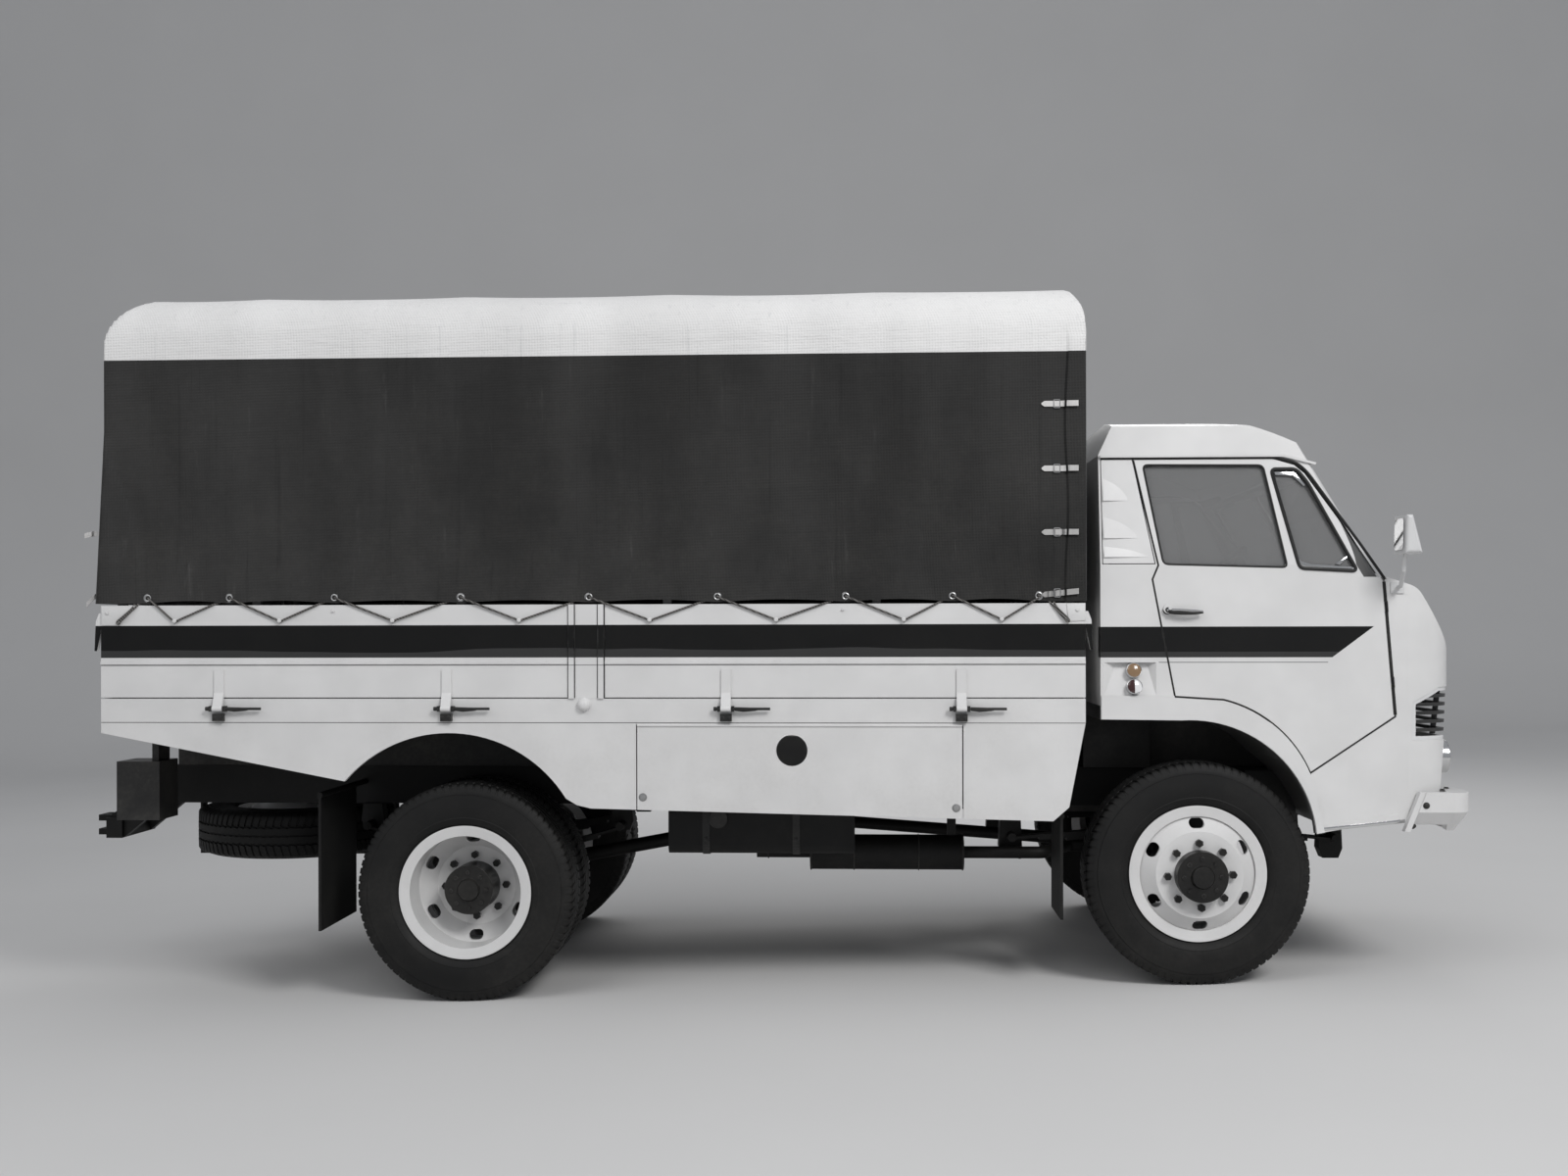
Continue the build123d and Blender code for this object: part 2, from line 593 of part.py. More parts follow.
# Bumper: upright band with rounded corners that leans back below its crease, and slanted ends
bumper_low = 773.0
bumper_crease = 855.0
bumper_high = 938.0
bumper_front = 4300.0
bumper_corner = 80.0
bumper_lean = 36.0          # degrees below the crease
bumper_inner = frame_front + seat_gap
end_low = (4038.0, bumper_low)
end_high = (4103.0, bumper_high)
end_plate = 24.0
with BuildPart() as bumper:
    with BuildSketch(level(bumper_crease)) as plan:
        with Locations(((3900 + bumper_front) / 2, 0)):
            Rectangle(bumper_front - 3900, 2 * half_width)
        fillet(plan.vertices().sort_by(Axis.X)[-2:], bumper_corner)
    extrude(plan.sketch, amount=bumper_high - bumper_crease)
    extrude(plan.sketch, amount=bumper_low - bumper_crease, taper=bumper_lean)
    prism(level(bumper_low - 1), ((3800, -1110), (4200, -1110), (bumper_inner, -960), (bumper_inner, 960),
                                  (4200, 1110), (3800, 1110)), 300, mode=Mode.SUBTRACT)
    prism(side(1300), ((3800, bumper_low - 1), end_low, end_high, (4103, bumper_high + 1), (3800, bumper_high + 1)),
          2600, mode=Mode.SUBTRACT)
    for s, hand in SIDES:
        prism(side(s * 1125 + 18), ((end_low[0] - end_plate, bumper_low), end_low, end_high,
                                    (end_high[0] - end_plate, bumper_high)), 36)
finish(bumper, "bumper")


# Cab
def cab_form(inset):
    """The cab's closed form with every face moved in by the inset: nose and body, then the house."""
    with BuildPart() as body:
        with BuildSketch(side(0)) as profile:
            with BuildLine():
                Line((cab_rear, cab_low), (3097, cab_low - 4))
                ThreePointArc((3097, cab_low - 4), (3492, 1097), (3659, 758))
                Polyline((3659, 758), (4023, 821), (4196, 930), (4222, 1137), (4251, 1391), (nose_x, 1446),
                         (nose_x, 1497), (4189, 1645), (4086, cowl_z), (3955, 1846), (cab_rear, 1846),
                         (cab_rear, cab_low))
            make_face()
            fillet([v for v in profile.vertices() if v.X > nose_x - 1], nose_round)
            fillet([v for v in profile.vertices() if v.Y == cowl_z], cowl_round)
            if inset:
                offset(amount=-inset, kind=Kind.INTERSECTION)
        extrude(amount=cab_half - inset, both=True)
        with BuildSketch(level(500)):
            with BuildLine():
                Polyline((nose_x - nose_corner, -cab_half), (cab_rear, -cab_half), (cab_rear, cab_half),
                         (nose_x - nose_corner, cab_half))
                ThreePointArc((nose_x - nose_corner, cab_half), (nose_x - 85, cab_half - 65),
                              (nose_x - 15, cab_half - 230))
                ThreePointArc((nose_x - 15, cab_half - 230), (nose_x + 7, 0), (nose_x - 15, 230 - cab_half))
                ThreePointArc((nose_x - 15, 230 - cab_half), (nose_x - 85, 65 - cab_half),
                              (nose_x - nose_corner, -cab_half))
            make_face()
            if inset:
                offset(amount=-inset, kind=Kind.INTERSECTION)
        extrude(amount=1600, mode=Mode.INTERSECT)
    with BuildPart() as house:
        with BuildSketch(side(0)):
            foot = 1800 - 2 * inset
            with BuildLine():
                Polyline((cab_rear, foot), (cab_rear, 2375), (2840, 2555))
                ThreePointArc((2840, 2555), (3280, 2532), (3640, 2402))
                Polyline((3640, 2402), (3692, 2332), (3684, 2296),
                         (3684 + (2296 - foot) * screen_slope, foot), (cab_rear, foot))
            make_face()
            if inset:
                offset(amount=-inset, kind=Kind.INTERSECTION)
        extrude(amount=cab_half - inset, both=True)
        with BuildSketch(across(2700)):
            with BuildLine():
                Polyline((-roof_half, roof_edge_z), (-cab_half, belt_z), (-cab_half, 1500), (cab_half, 1500),
                         (cab_half, belt_z), (roof_half, roof_edge_z))
                ThreePointArc((roof_half, roof_edge_z), (0, roof_edge_z + 90), (-roof_half, roof_edge_z))
            section = make_face()
            fillet(section.vertices().sort_by(Axis.Z)[-2:], 150)
            if inset:
                offset(amount=-inset, kind=Kind.INTERSECTION)
        extrude(amount=1600, mode=Mode.INTERSECT)
        fall = Vector(screen_slope, 0, -1).normalized()
        with BuildSketch(Plane(origin=(3959, 0, 1842), x_dir=(0, 1, 0), z_dir=fall)):
            back = 1700 if fall.cross(Vector(0, 1, 0)).X < 0 else -1700
            toward = -back / 1700
            with BuildLine():
                Polyline((-cab_half, -toward * 120), (-cab_half, back), (cab_half, back),
                         (cab_half, -toward * 120))
                ThreePointArc((cab_half, -toward * 120), (cab_half - 35, -toward * 30),
                              (cab_half - 130, 0))
                ThreePointArc((cab_half - 130, 0), (0, toward * 25), (130 - cab_half, 0))
                ThreePointArc((130 - cab_half, 0), (35 - cab_half, -toward * 30),
                              (-cab_half, -toward * 120))
            make_face()
            if inset:
                offset(amount=-inset, kind=Kind.INTERSECTION)
        extrude(amount=1200, both=True, mode=Mode.INTERSECT)
    return body.part + house.part


screen_slope = (3959 - 3684) / (2296 - 1842)
outer_form = cab_form(0)
inner_form = cab_form(cab_wall)
glass_front = cab_form(14)
glass_back = cab_form(20)


def door_outline(grow):
    """Outline of a door in side view, moved out by the given amount."""
    with BuildSketch(side(0)) as outline:
        with BuildLine():
            Polyline((3635, 1015), (3990, 1255), (3943, 1831), (3628, 2294), (3586, 2330), (3496, 2357),
                     (2900, 2357), (2999, belt_z), (2974, 1839), (3068, 1339), (3273, 1326))
            ThreePointArc((3273, 1326), (3490, 1215), (3635, 1015))
        make_face()
        offset(amount=grow, kind=Kind.INTERSECTION)
    return outline.sketch


main_window = ((2943, 2331), (3452, 2327), (3542, 1888), (3021, 1903))
vent_window = ((3485, 2310), (3592, 2310), (3637, 2251), (3833, 1871), (3592, 1884))
screen_pane = ((25, 1890), (930, 1890), (870, 2272), (25, 2272))


def window_tool(points, shrink):
    """Cutter through a door's wall in the outline of a window, at both sides of the cab."""
    with BuildPart() as tool:
        with BuildSketch(side(0)) as pane:
            with BuildLine():
                Polyline(*points, close=True)
            make_face()
            fillet(pane.vertices(), 22)
            if shrink:
                offset(amount=-shrink, kind=Kind.INTERSECTION)
        extrude(amount=1200, both=True)
        block((2500, 4500), (-800, 800), (1500, 2600), mode=Mode.SUBTRACT)
    return tool.part


def screen_tool(shrink):
    """Cutter for the two panes of the windscreen."""
    with BuildPart() as tool:
        with BuildSketch(across(3500)) as panes:
            for s, hand in SIDES:
                with BuildLine():
                    Polyline(*((s * y, z) for y, z in screen_pane), close=True)
                make_face()
            fillet(panes.vertices(), 40)
            if shrink:
                offset(amount=-shrink, kind=Kind.INTERSECTION)
        extrude(amount=700)
    return tool.part


def door_tool(s, grow):
    """Cutter that takes a door out of the cab's side."""
    with BuildPart() as tool:
        extrude(door_outline(grow), amount=1200, both=True)
        block((2500, 4500), (-s * 1300, s * 900), (900, 2500), mode=Mode.SUBTRACT)
        block((2500, 4500), (s * 800, s * (cab_half - cab_wall - 2)), (900, pillar_foot_z - 2 * grow),
              mode=Mode.SUBTRACT)
    return tool.part


# Flank pressings: louvres and scoop behind the door, wing band, gutter, sill
louvre_proud = 8.0
louvre_table = ((2346.0, 2177.0, 2874.0), (2177.0, 2015.0, 2911.0), (2015.0, 1934.0, 2955.0))   # top, low, front X
quarter_outline = ((cab_rear + 10, 2356), (2899, 2356), (2986, belt_z + 7), (cab_rear + 10, belt_z + 7))
scoop_depth = 30.0
scoop_z = (1339.0, 1485.0)
scoop_x = ((2768.0, 2990.0), (2824.0, 2953.0))      # mouth, floor
wing_proud = 14.0
side_lamp_z = (1446.0, 1378.0)
side_lamp_radius = 33.0


def flank_y(z):
    """Half width of the cab's side at a height above the belt."""
    return cab_half - (z - belt_z) * (cab_half - roof_half) / (roof_edge_z - belt_z)


def louvre(s, top, low, front):
    """Shingle that stands out most at its lower rear corner and fades towards the door."""
    ends = []
    for x, proud in ((cab_rear + 16, louvre_proud), (front, 0.5)):
        with BuildSketch(across(x)) as end:
            with BuildLine() as edge:
                Polyline((s * (flank_y(top) - 6), top), (s * (flank_y(low) + proud), low),
                         (s * (flank_y(low) - 6), low), close=True)
            make_face(edge.edges())
        ends.append(end.sketch.face())
    loft(ends)


def scoop_tool(s):
    """Cutter for the scoop: deep at its top, flush at its foot, narrower at its floor."""
    mouth, floor = s * (cab_half + 1), s * (cab_half - scoop_depth)
    with BuildPart() as tool:
        prism(level(scoop_z[0]), ((scoop_x[0][0], mouth), (scoop_x[0][1], mouth), (scoop_x[1][1], floor),
                                  (scoop_x[1][0], floor)), scoop_z[1] - scoop_z[0])
        prism(across(cab_rear), ((mouth, scoop_z[0]), (mouth, scoop_z[1]), (floor, scoop_z[1])), 400,
              mode=Mode.INTERSECT)
    return tool.part


def wing_outline():
    """Band over the wheel in side view, clear of the door."""
    with BuildSketch(side(0)) as outline:
        with BuildLine():
            Line((cab_rear + 2, cab_low + 1), (cab_rear + 2, 1343))
            Line((cab_rear + 2, 1343), (3074, 1343))
            ThreePointArc((3074, 1343), (3240, 1322), (3367, 1277))
            ThreePointArc((3367, 1277), (3520, 1187), (3635, 1015))
            Polyline((3635, 1015), (3664, 900), (3692, 765), (3659, 759))
            ThreePointArc((3659, 759), (3492, 1098), (3097, cab_low - 3))
            Line((3097, cab_low - 3), (cab_rear + 2, cab_low + 1))
        make_face()
        add(door_outline(shut_gap / 2), mode=Mode.SUBTRACT)
    return outline.sketch


grille_low = 1155.0
grille_outline = ((4060, grille_low), (4060, 1315), (4190, 1378), (4400, 1378), (4400, grille_low))
lamp_radius = 72.0
lamp_z = 1066.0
lamp_y = (650.0, 830.0)
bulkhead_x = 4000.0
hinge_line = Vector(3943 - 3990, 0, 1831 - 1255).normalized()


def hinge_point(z):
    """Point of a door's hinge line at the given height, on the cab's centre plane."""
    return Vector(3990 + (z - 1255) * hinge_line.X / hinge_line.Z, 0, z)


def door_barrels(s, radius, extra, mode):
    """The two hinge barrels of a door, half in the skin."""
    for z in door_hinge_z:
        middle = hinge_point(z) + Vector(0, s * cab_half, 0)
        reach = hinge_line * (door_hinge_length / 2 + extra)
        rod(tuple(middle - reach), tuple(middle + reach), radius, mode=mode)


with BuildPart() as cab_shell:
    add(outer_form)
    block((cab_rear - 10, 4140), (-tunnel_half, tunnel_half), (600, cab_low), mode=Mode.SUBTRACT)
    block((4100, 4400), (-tunnel_half, tunnel_half), (600, 992), mode=Mode.SUBTRACT)
    reach = cab_half - cab_wall
    rod((front_hub_x, -reach, front_hub_z), (front_hub_x, reach, front_hub_z), wheelhouse_radius,
        mode=Mode.SUBTRACT)
    hollow = inner_form
    inside = cab_half + 10
    with BuildPart(mode=Mode.PRIVATE) as kept:
        block((cab_rear, 4140 + cab_wall), (-tunnel_half - cab_wall, tunnel_half + cab_wall),
              (600, cab_low + cab_wall))
        rod((front_hub_x, -inside, front_hub_z), (front_hub_x, inside, front_hub_z),
            wheelhouse_radius + cab_wall)
        block((bulkhead_x, bulkhead_x + 30), (-inside, inside), (600, 1780))
    add(hollow - kept.part, mode=Mode.SUBTRACT)
    for s, hand in SIDES:
        add(door_tool(s, shut_gap / 2), mode=Mode.SUBTRACT)
        door_barrels(s, door_hinge_radius + door_hinge_gap, door_hinge_gap, Mode.SUBTRACT)
        for y in lamp_y:
            rod((4120, s * y, lamp_z), (4400, s * y, lamp_z), lamp_radius + seat_gap, mode=Mode.SUBTRACT)
    add(screen_tool(0), mode=Mode.SUBTRACT)
    for s, hand in SIDES:
        band = wing_outline().moved(Location((0, s * (cab_half + wing_proud / 2 - 1) + wing_proud / 2 + 1, 0)))
        extrude(band, amount=wing_proud + 2)
        prism(side(s * (cab_half + 2) + 4), ((3692, 766), (4005, 820), (4001, 844), (3685, 790)), 8)
        prism(side(s * 1042 + 13), ((cab_rear + 6, 2363), (3537, 2362), (3672, 2327), (3676, 2336), (3540, 2372),
                                    (cab_rear + 6, 2373)), 26)
        for top, low, front in louvre_table:
            louvre(s, top, low, front)
        add(scoop_tool(s), mode=Mode.SUBTRACT)
    prism(side(1300), grille_outline, 2600, mode=Mode.SUBTRACT)
    with BuildSketch(side(1300)) as seam:
        with BuildLine():
            Polyline(*quarter_outline, close=True)
        make_face()
    seam_ring = offset(seam.sketch, amount=2, mode=Mode.PRIVATE) - offset(seam.sketch, amount=-2, mode=Mode.PRIVATE)
    seam_cut = extrude(seam_ring, amount=2600, mode=Mode.PRIVATE)
    add((outer_form - glass_front) & seam_cut, mode=Mode.SUBTRACT)
finish(cab_shell, "cab_shell")

with BuildPart() as windscreen:
    add((glass_front - glass_back) & screen_tool(seat_gap))
finish(windscreen, "windscreen")

for s, hand in SIDES:
    with BuildPart() as door:
        add((outer_form - inner_form) & door_tool(s, -shut_gap / 2))
        for window in (main_window, vent_window):
            add(window_tool(window, 0), mode=Mode.SUBTRACT)
        door_barrels(s, door_hinge_radius, 0, Mode.ADD)
        rod((3038, s * (cab_half - 1), 1713), (3038, s * (cab_half + 18), 1713), 20)
        block((3038, 3176), (s * (cab_half + 12), s * (cab_half + 22)), (1706, 1721))
        block((3160, 3176), (s * (cab_half - 1), s * (cab_half + 13)), (1706, 1721))
    finish(door, f"door_{hand}")
    with BuildPart() as door_glass:
        panes = window_tool(main_window, seat_gap) + window_tool(vent_window, seat_gap)
        add((glass_front - glass_back) & panes)
        block((2500, 4500), (0, -s * 1300), (1500, 2600), mode=Mode.SUBTRACT)
    finish(door_glass, f"door_glass_{hand}")

# Grille: slats and an edge that follow the nose
def grille_sketch(shrink):
    """Outline of the grille in side view, moved in by the given amount."""
    with BuildSketch(side(1300)) as outline:
        with BuildLine():
            Polyline(*grille_outline, close=True)
        make_face()
        offset(amount=-shrink, kind=Kind.INTERSECTION)
    return outline.sketch


with BuildPart() as grille:
    for z in range(1190, 1360, 36):
        block((4065, 4380), (-1300, 1300), (z, z + 14))
    for y in range(-900, 901, 300):
        block((4100, 4380), (y - 7, y + 7), (grille_low + 4, 1374))
    add(extrude(grille_sketch(seat_gap), amount=2600, mode=Mode.PRIVATE), mode=Mode.INTERSECT)
    extrude(grille_sketch(seat_gap) - grille_sketch(16), amount=2600)
    add(cab_form(4) - cab_form(24), mode=Mode.INTERSECT)
finish(grille, "grille")

# Headlamps with their rims and crowned lenses, and round lamps on the floor of each scoop
lamp_rim = 6.0
lamp_lens = 4292.0
scoop_slope = (scoop_depth + 1) / (scoop_z[1] - scoop_z[0])
with BuildPart() as front_lamps:
    for s, hand in SIDES:
        for y in lamp_y:
            rod((4150, s * y, lamp_z), (lamp_lens - 4, s * y, lamp_z), lamp_radius)
            rod((lamp_lens - 12, s * y, lamp_z), (lamp_lens - 3, s * y, lamp_z), lamp_radius - lamp_rim,
                mode=Mode.SUBTRACT)
            with BuildSketch(Plane.XY.offset(lamp_z)) as section:
                edge_y = s * y + lamp_radius - lamp_rim - 2
                with BuildLine() as edge:
                    Line((lamp_lens - 13, s * y), (lamp_lens, s * y))
                    ThreePointArc((lamp_lens, s * y), (lamp_lens - 3, s * y + 35), (lamp_lens - 9, edge_y))
                    Polyline((lamp_lens - 9, edge_y), (lamp_lens - 13, edge_y), (lamp_lens - 13, s * y))
                make_face(edge.edges())
            revolve(section.sketch, axis=Axis((0, s * y, lamp_z), (1, 0, 0)))
        for z in side_lamp_z:
            out = Vector(0, s, scoop_slope).normalized()
            floor = Vector(2895, s * (cab_half + 1 - (z - scoop_z[0]) * scoop_slope), z)
            rod(tuple(floor + out * seat_gap), tuple(floor + out * 28), side_lamp_radius)
finish(front_lamps, "front_lamps")

# Cab inside: cover over the engine, dashboard with the steering column
floor_z = cab_low + cab_wall
column_foot = Vector(3850, 520, 1610)
column_head = Vector(3600, 520, 1850)
column_line = (column_head - column_foot).normalized()
with BuildPart() as cab_interior:
    block((3080, 3880), (-215, 215), (floor_z + seat_gap, 1500))
    prism(side(1050), ((bulkhead_x - seat_gap, 1500), (bulkhead_x - seat_gap, 1740), (3900, 1775), (3800, 1730),
                       (3800, 1640), (3880, 1500)), 2100)
    rod(tuple(column_foot), tuple(column_head), 22)
finish(cab_interior, "cab_interior")

with BuildPart() as steering_wheel:
    hub_foot = column_head + column_line * seat_gap
    hub_head = hub_foot + column_line * 40
    rod(tuple(hub_foot), tuple(hub_head), 34)
    wheel_plane = Plane(origin=tuple(hub_head), x_dir=(0, 1, 0), z_dir=tuple(column_line))
    with BuildSketch(Plane(origin=tuple(hub_head), x_dir=tuple(wheel_plane.x_dir),
                           z_dir=tuple(wheel_plane.y_dir))) as rim_section:
        with Locations((232, 0)):
            Circle(14)
    revolve(rim_section.sketch, axis=Axis(tuple(hub_head), tuple(column_line)))
    for turn in (90, 210, 330):
        direction = wheel_plane.x_dir * cos(radians(turn)) + wheel_plane.y_dir * sin(radians(turn))
        start = hub_head - column_line * 12
        rod(tuple(start), tuple(hub_head + direction * 230), 11)
finish(steering_wheel, "steering_wheel")

seat_x = cab_rear + 146.0
seat_section = ((50, 1440), (540, 1440), (540, 1570), (160, 1560), (90, 2010), (0, 2010))
with BuildPart() as seats:
    for y0, y1 in ((260, 800), (-800, -260)):
        block((seat_x + 60, seat_x + 520), (y0 + 20, y1 - 20), (floor_z + seat_gap, 1450))
        prism(side(y1), tuple((seat_x + x, z) for x, z in seat_section), y1 - y0)
finish(seats, "seats")

# Mirrors: tapered heads on bent arms from a bracket ahead of each door
mirror_head = ((3967, 2095), (3995, 2095), (4034, 1937), (3962, 1937))
mirror_y = (1160.0, 1320.0)
with BuildPart() as mirrors:
    for s, hand in SIDES:
        foot_y = cab_half + seat_gap
        block((3970, 4026), (s * foot_y, s * (foot_y + 6)), (1776, 1822))
        points = ((4000, s * (foot_y + 3), 1800), (3998, s * 1148, 1806), (3985, s * 1225, 1868), (3988, s * 1240, 1945))
        for start, end in zip(points, points[1:]):
            rod(start, end, 9)
        with Locations(points[1:-1]):
            Sphere(9)
        prism(side(s * sum(mirror_y) / 2 + (mirror_y[1] - mirror_y[0]) / 2), mirror_head, mirror_y[1] - mirror_y[0])
    fillet(mirrors.edges().filter_by(GeomType.LINE).filter_by(lambda e: abs(e.center().Y) > mirror_y[0] - 1
           and e.center().Z > 1930 and abs(abs(e.center().Y) - sum(mirror_y) / 2) > 60), 14)
finish(mirrors, "mirrors")

# Bed: rave rails round a plank floor, cross bearers and runners on the frame
deck_wall = 40.0
hinge_y = half_width + board_hinge_out
bearer_x = (-1500, -960, -420, 120, 660, 1200, 1740, 2280, 2600)
with BuildPart() as bed_deck:
    block((bed_rear, bed_front), (-half_width, half_width), (rave_low, rave_high))
    block((bed_rear + rave_wall, bed_front - rave_wall), (-half_width + rave_wall, half_width - rave_wall),
          (rave_low - 1, rave_high - deck_wall), mode=Mode.SUBTRACT)
    for x in bearer_x:
        block((x, x + 60), (-half_width + rave_wall, half_width - rave_wall), (bearer_low, rave_high - deck_wall))
    for s, hand in SIDES:
        block((bed_rear + 20, bed_front - 40), (s * (rail_outer_y - 65), s * (rail_outer_y - 5)),
              (rail_high + seat_gap, rave_high - deck_wall))
        for x in board_hinge_x:
            rod((x - 40, s * hinge_y, board_hinge_z), (x + 190, s * hinge_y, board_hinge_z), hinge_pin_radius)
            for ear in (x - barrel_length / 2 - 14, x + barrel_length / 2 + 2):
                block((ear, ear + 12), (s * (half_width - 1), s * (hinge_y + 10)),
                      (board_hinge_z - 12, board_hinge_z + 12))
            block((x - 25, x + 25), (s * (half_width - 1), s * (half_width + 20)), (rave_low + 6, rave_low + 38))
    gate_x = bed_rear - board_hinge_out
    for y in (-800, 0, 800):
        rod((gate_x, y - 40, board_hinge_z), (gate_x, y + 40, board_hinge_z), hinge_pin_radius)
        for ear in (y - barrel_length / 2 - 14, y + barrel_length / 2 + 2):
            block((bed_rear + 1, gate_x - 10), (ear, ear + 12), (board_hinge_z - 12, board_hinge_z + 12))
finish(bed_deck, "bed_deck")

with BuildPart() as bed_uprights:
    for s, hand in SIDES:
        block((post_rear, post_front), (s * (half_width - 38), s * half_width), (rave_high + seat_gap, board_high))
        for x in (post_rear, post_front - 24):
            block((x, x + 24), (s * (half_width - 2), s * (half_width + 8)), (rave_high + seat_gap, board_high))
    block((bed_front - 40, bed_front), (-half_width + 36, half_width - 36), (rave_high + seat_gap, board_high))
finish(bed_uprights, "bed_uprights")

strap_section = ((0, 22), (0, 120), (8, 120), (8, 20), (28, -38), (22, -48), (10, -48))   # out, above the board


def board_panel(piece_x, s):
    """Side board with its rib, and a strap with a barrel at each hinge in its length."""
    block(piece_x, (s * (half_width - board_wall), s * half_width), (board_low, board_high))
    block(piece_x, (s * (half_width - 1), s * (half_width + 6)), (ridge_z - 6, ridge_z + 6))
    for x in board_hinge_x:
        if piece_x[0] < x < piece_x[1]:
            prism(across(x - 21), tuple((s * (half_width + y), board_low + z) for y, z in strap_section), 42)
            rod((x - barrel_length / 2, s * hinge_y, board_hinge_z), (x + barrel_length / 2, s * hinge_y, board_hinge_z),
                barrel_radius)
            rod((x - barrel_length, s * hinge_y, board_hinge_z), (x + barrel_length, s * hinge_y, board_hinge_z),
                hinge_pin_radius + pin_gap, mode=Mode.SUBTRACT)


board_table = (("rear", (bed_rear, post_rear - run_gap)), ("front", (post_front + run_gap, bed_front)))
for s, hand in SIDES:
    for place, piece_x in board_table:
        end, out = (bed_rear, -1) if place == "rear" else (bed_front, 1)
        with BuildPart() as board:
            board_panel(piece_x, s)
            prism(side(s * (half_width - 16) + 10), ((end - out, board_high - 34), (end + out * 12, board_high - 34),
                                                     (end + out * 26, board_high - 70), (end + out * 32, 1540),
                                                     (end + out * 22, 1540), (end - out, board_high - 90)), 20)
        finish(board, f"board_{place}_{hand}")

gate_half = half_width - board_wall - run_gap - 1
with BuildPart() as tailgate:
    block((bed_rear, bed_rear + board_wall), (-gate_half, gate_half), (board_low, board_high))
    block((bed_rear - 6, bed_rear + 1), (-gate_half, gate_half), (ridge_z - 6, ridge_z + 6))
    for y in (-800, 0, 800):
        prism(side(y + 21), tuple((bed_rear - out, board_low + z) for out, z in strap_section), 42)
        rod((gate_x, y - barrel_length / 2, board_hinge_z), (gate_x, y + barrel_length / 2, board_hinge_z),
            barrel_radius)
        rod((gate_x, y - barrel_length, board_hinge_z), (gate_x, y + barrel_length, board_hinge_z),
            hinge_pin_radius + pin_gap, mode=Mode.SUBTRACT)
finish(tailgate, "tailgate")

# Skirts below the rave, cut round the rear wheels and the locker flaps
flap_hinge_z = flap_top
flap_barrel = 6.0
with BuildPart() as side_skirts:
    for s, hand in SIDES:
        with BuildSketch(side(s * half_width if s > 0 else -half_width + skirt_wall)) as outline:
            with BuildLine():
                Polyline((-500, 975), (bed_rear, skirt_tail_low), (bed_rear, rave_low - seat_gap),
                         (bed_front, rave_low - seat_gap), (2614, 872), (2547, 813), (574, 861), (513, 875),
                         (466, 903))
                ThreePointArc((466, 903), (arch_x, arch_z + arch_radius), (-500, 975))
            make_face()
        extrude(outline.sketch, amount=skirt_wall)
        block((flap_rear, flap_front), (s * 1100, s * 1200), (700, flap_top), mode=Mode.SUBTRACT)
        rod((flap_rear, s * half_width, flap_hinge_z), (flap_front, s * half_width, flap_hinge_z),
            flap_barrel + pin_gap, mode=Mode.SUBTRACT)
        back = half_width - skirt_wall
        box_low = 870.0
        block((flap_rear - 10, flap_front + 10), (s * (back - locker_depth), s * back),
              (box_low, bearer_low - seat_gap))
        block((flap_rear, flap_front), (s * (back - locker_depth + 8), s * (back + 1)),
              (box_low + 8, bearer_low - 8 - seat_gap), mode=Mode.SUBTRACT)
finish(side_skirts, "side_skirts")

for s, hand in SIDES:
    with BuildPart() as locker_flap:
        reach = (flap_rear + run_gap, flap_front - run_gap)
        bottom = ((reach[0], 856), (reach[1], 822))
        prism(side(s * half_width if s > 0 else -half_width + 18),
              (bottom[0], (reach[0], flap_top - 6), (reach[1], flap_top - 6), bottom[1]), 18)
        block(reach, (s * (half_width - 18), s * half_width), (flap_top - 8, flap_top - 1))
        rod((reach[0], s * half_width, flap_hinge_z), (reach[1], s * half_width, flap_hinge_z), flap_barrel)
        rod((1438, s * (half_width - 30), 1111), (1438, s * (half_width + 10), 1111), 67, mode=Mode.SUBTRACT)
    finish(locker_flap, f"locker_flap_{hand}")

# Hoops that stand on the deck inside the boards, each a flat band bent to the tilt's section
def hoop_outline(inset, drop):
    """Outline of a hoop from the deck to the tilt, moved in by the inset and lowered by the drop."""
    edge_y = half_width - board_wall - 8 - inset
    low = rave_high + seat_gap - (1 if inset > 0 else 0)
    rise = tilt_wall + 1 + inset + drop
    knee = tilt_shoulder - 60 - drop
    with BuildSketch(across(0)) as outline:
        with BuildLine():
            Polyline((-edge_y, knee), (-edge_y, low), (edge_y, low), (edge_y, knee))
            ThreePointArc((edge_y, knee), (edge_y - 52, tilt_edge_top - 96 - rise),
                          (tilt_shoulder_y, tilt_edge_top - 8 - rise))
            ThreePointArc((tilt_shoulder_y, tilt_edge_top - 8 - rise), (0, tilt_crown - rise),
                          (-tilt_shoulder_y, tilt_edge_top - 8 - rise))
            ThreePointArc((-tilt_shoulder_y, tilt_edge_top - 8 - rise), (52 - edge_y, tilt_edge_top - 96 - rise),
                          (-edge_y, knee))
        make_face()
    return outline.sketch


with BuildPart() as canvas_bows:
    for x, drop in bow_table:
        band = hoop_outline(0, drop) - hoop_outline(bow_wall, drop)
        extrude(band.moved(Location((x - bow_width / 2, 0, 0))), amount=bow_width)
finish(canvas_bows, "canvas_bows")


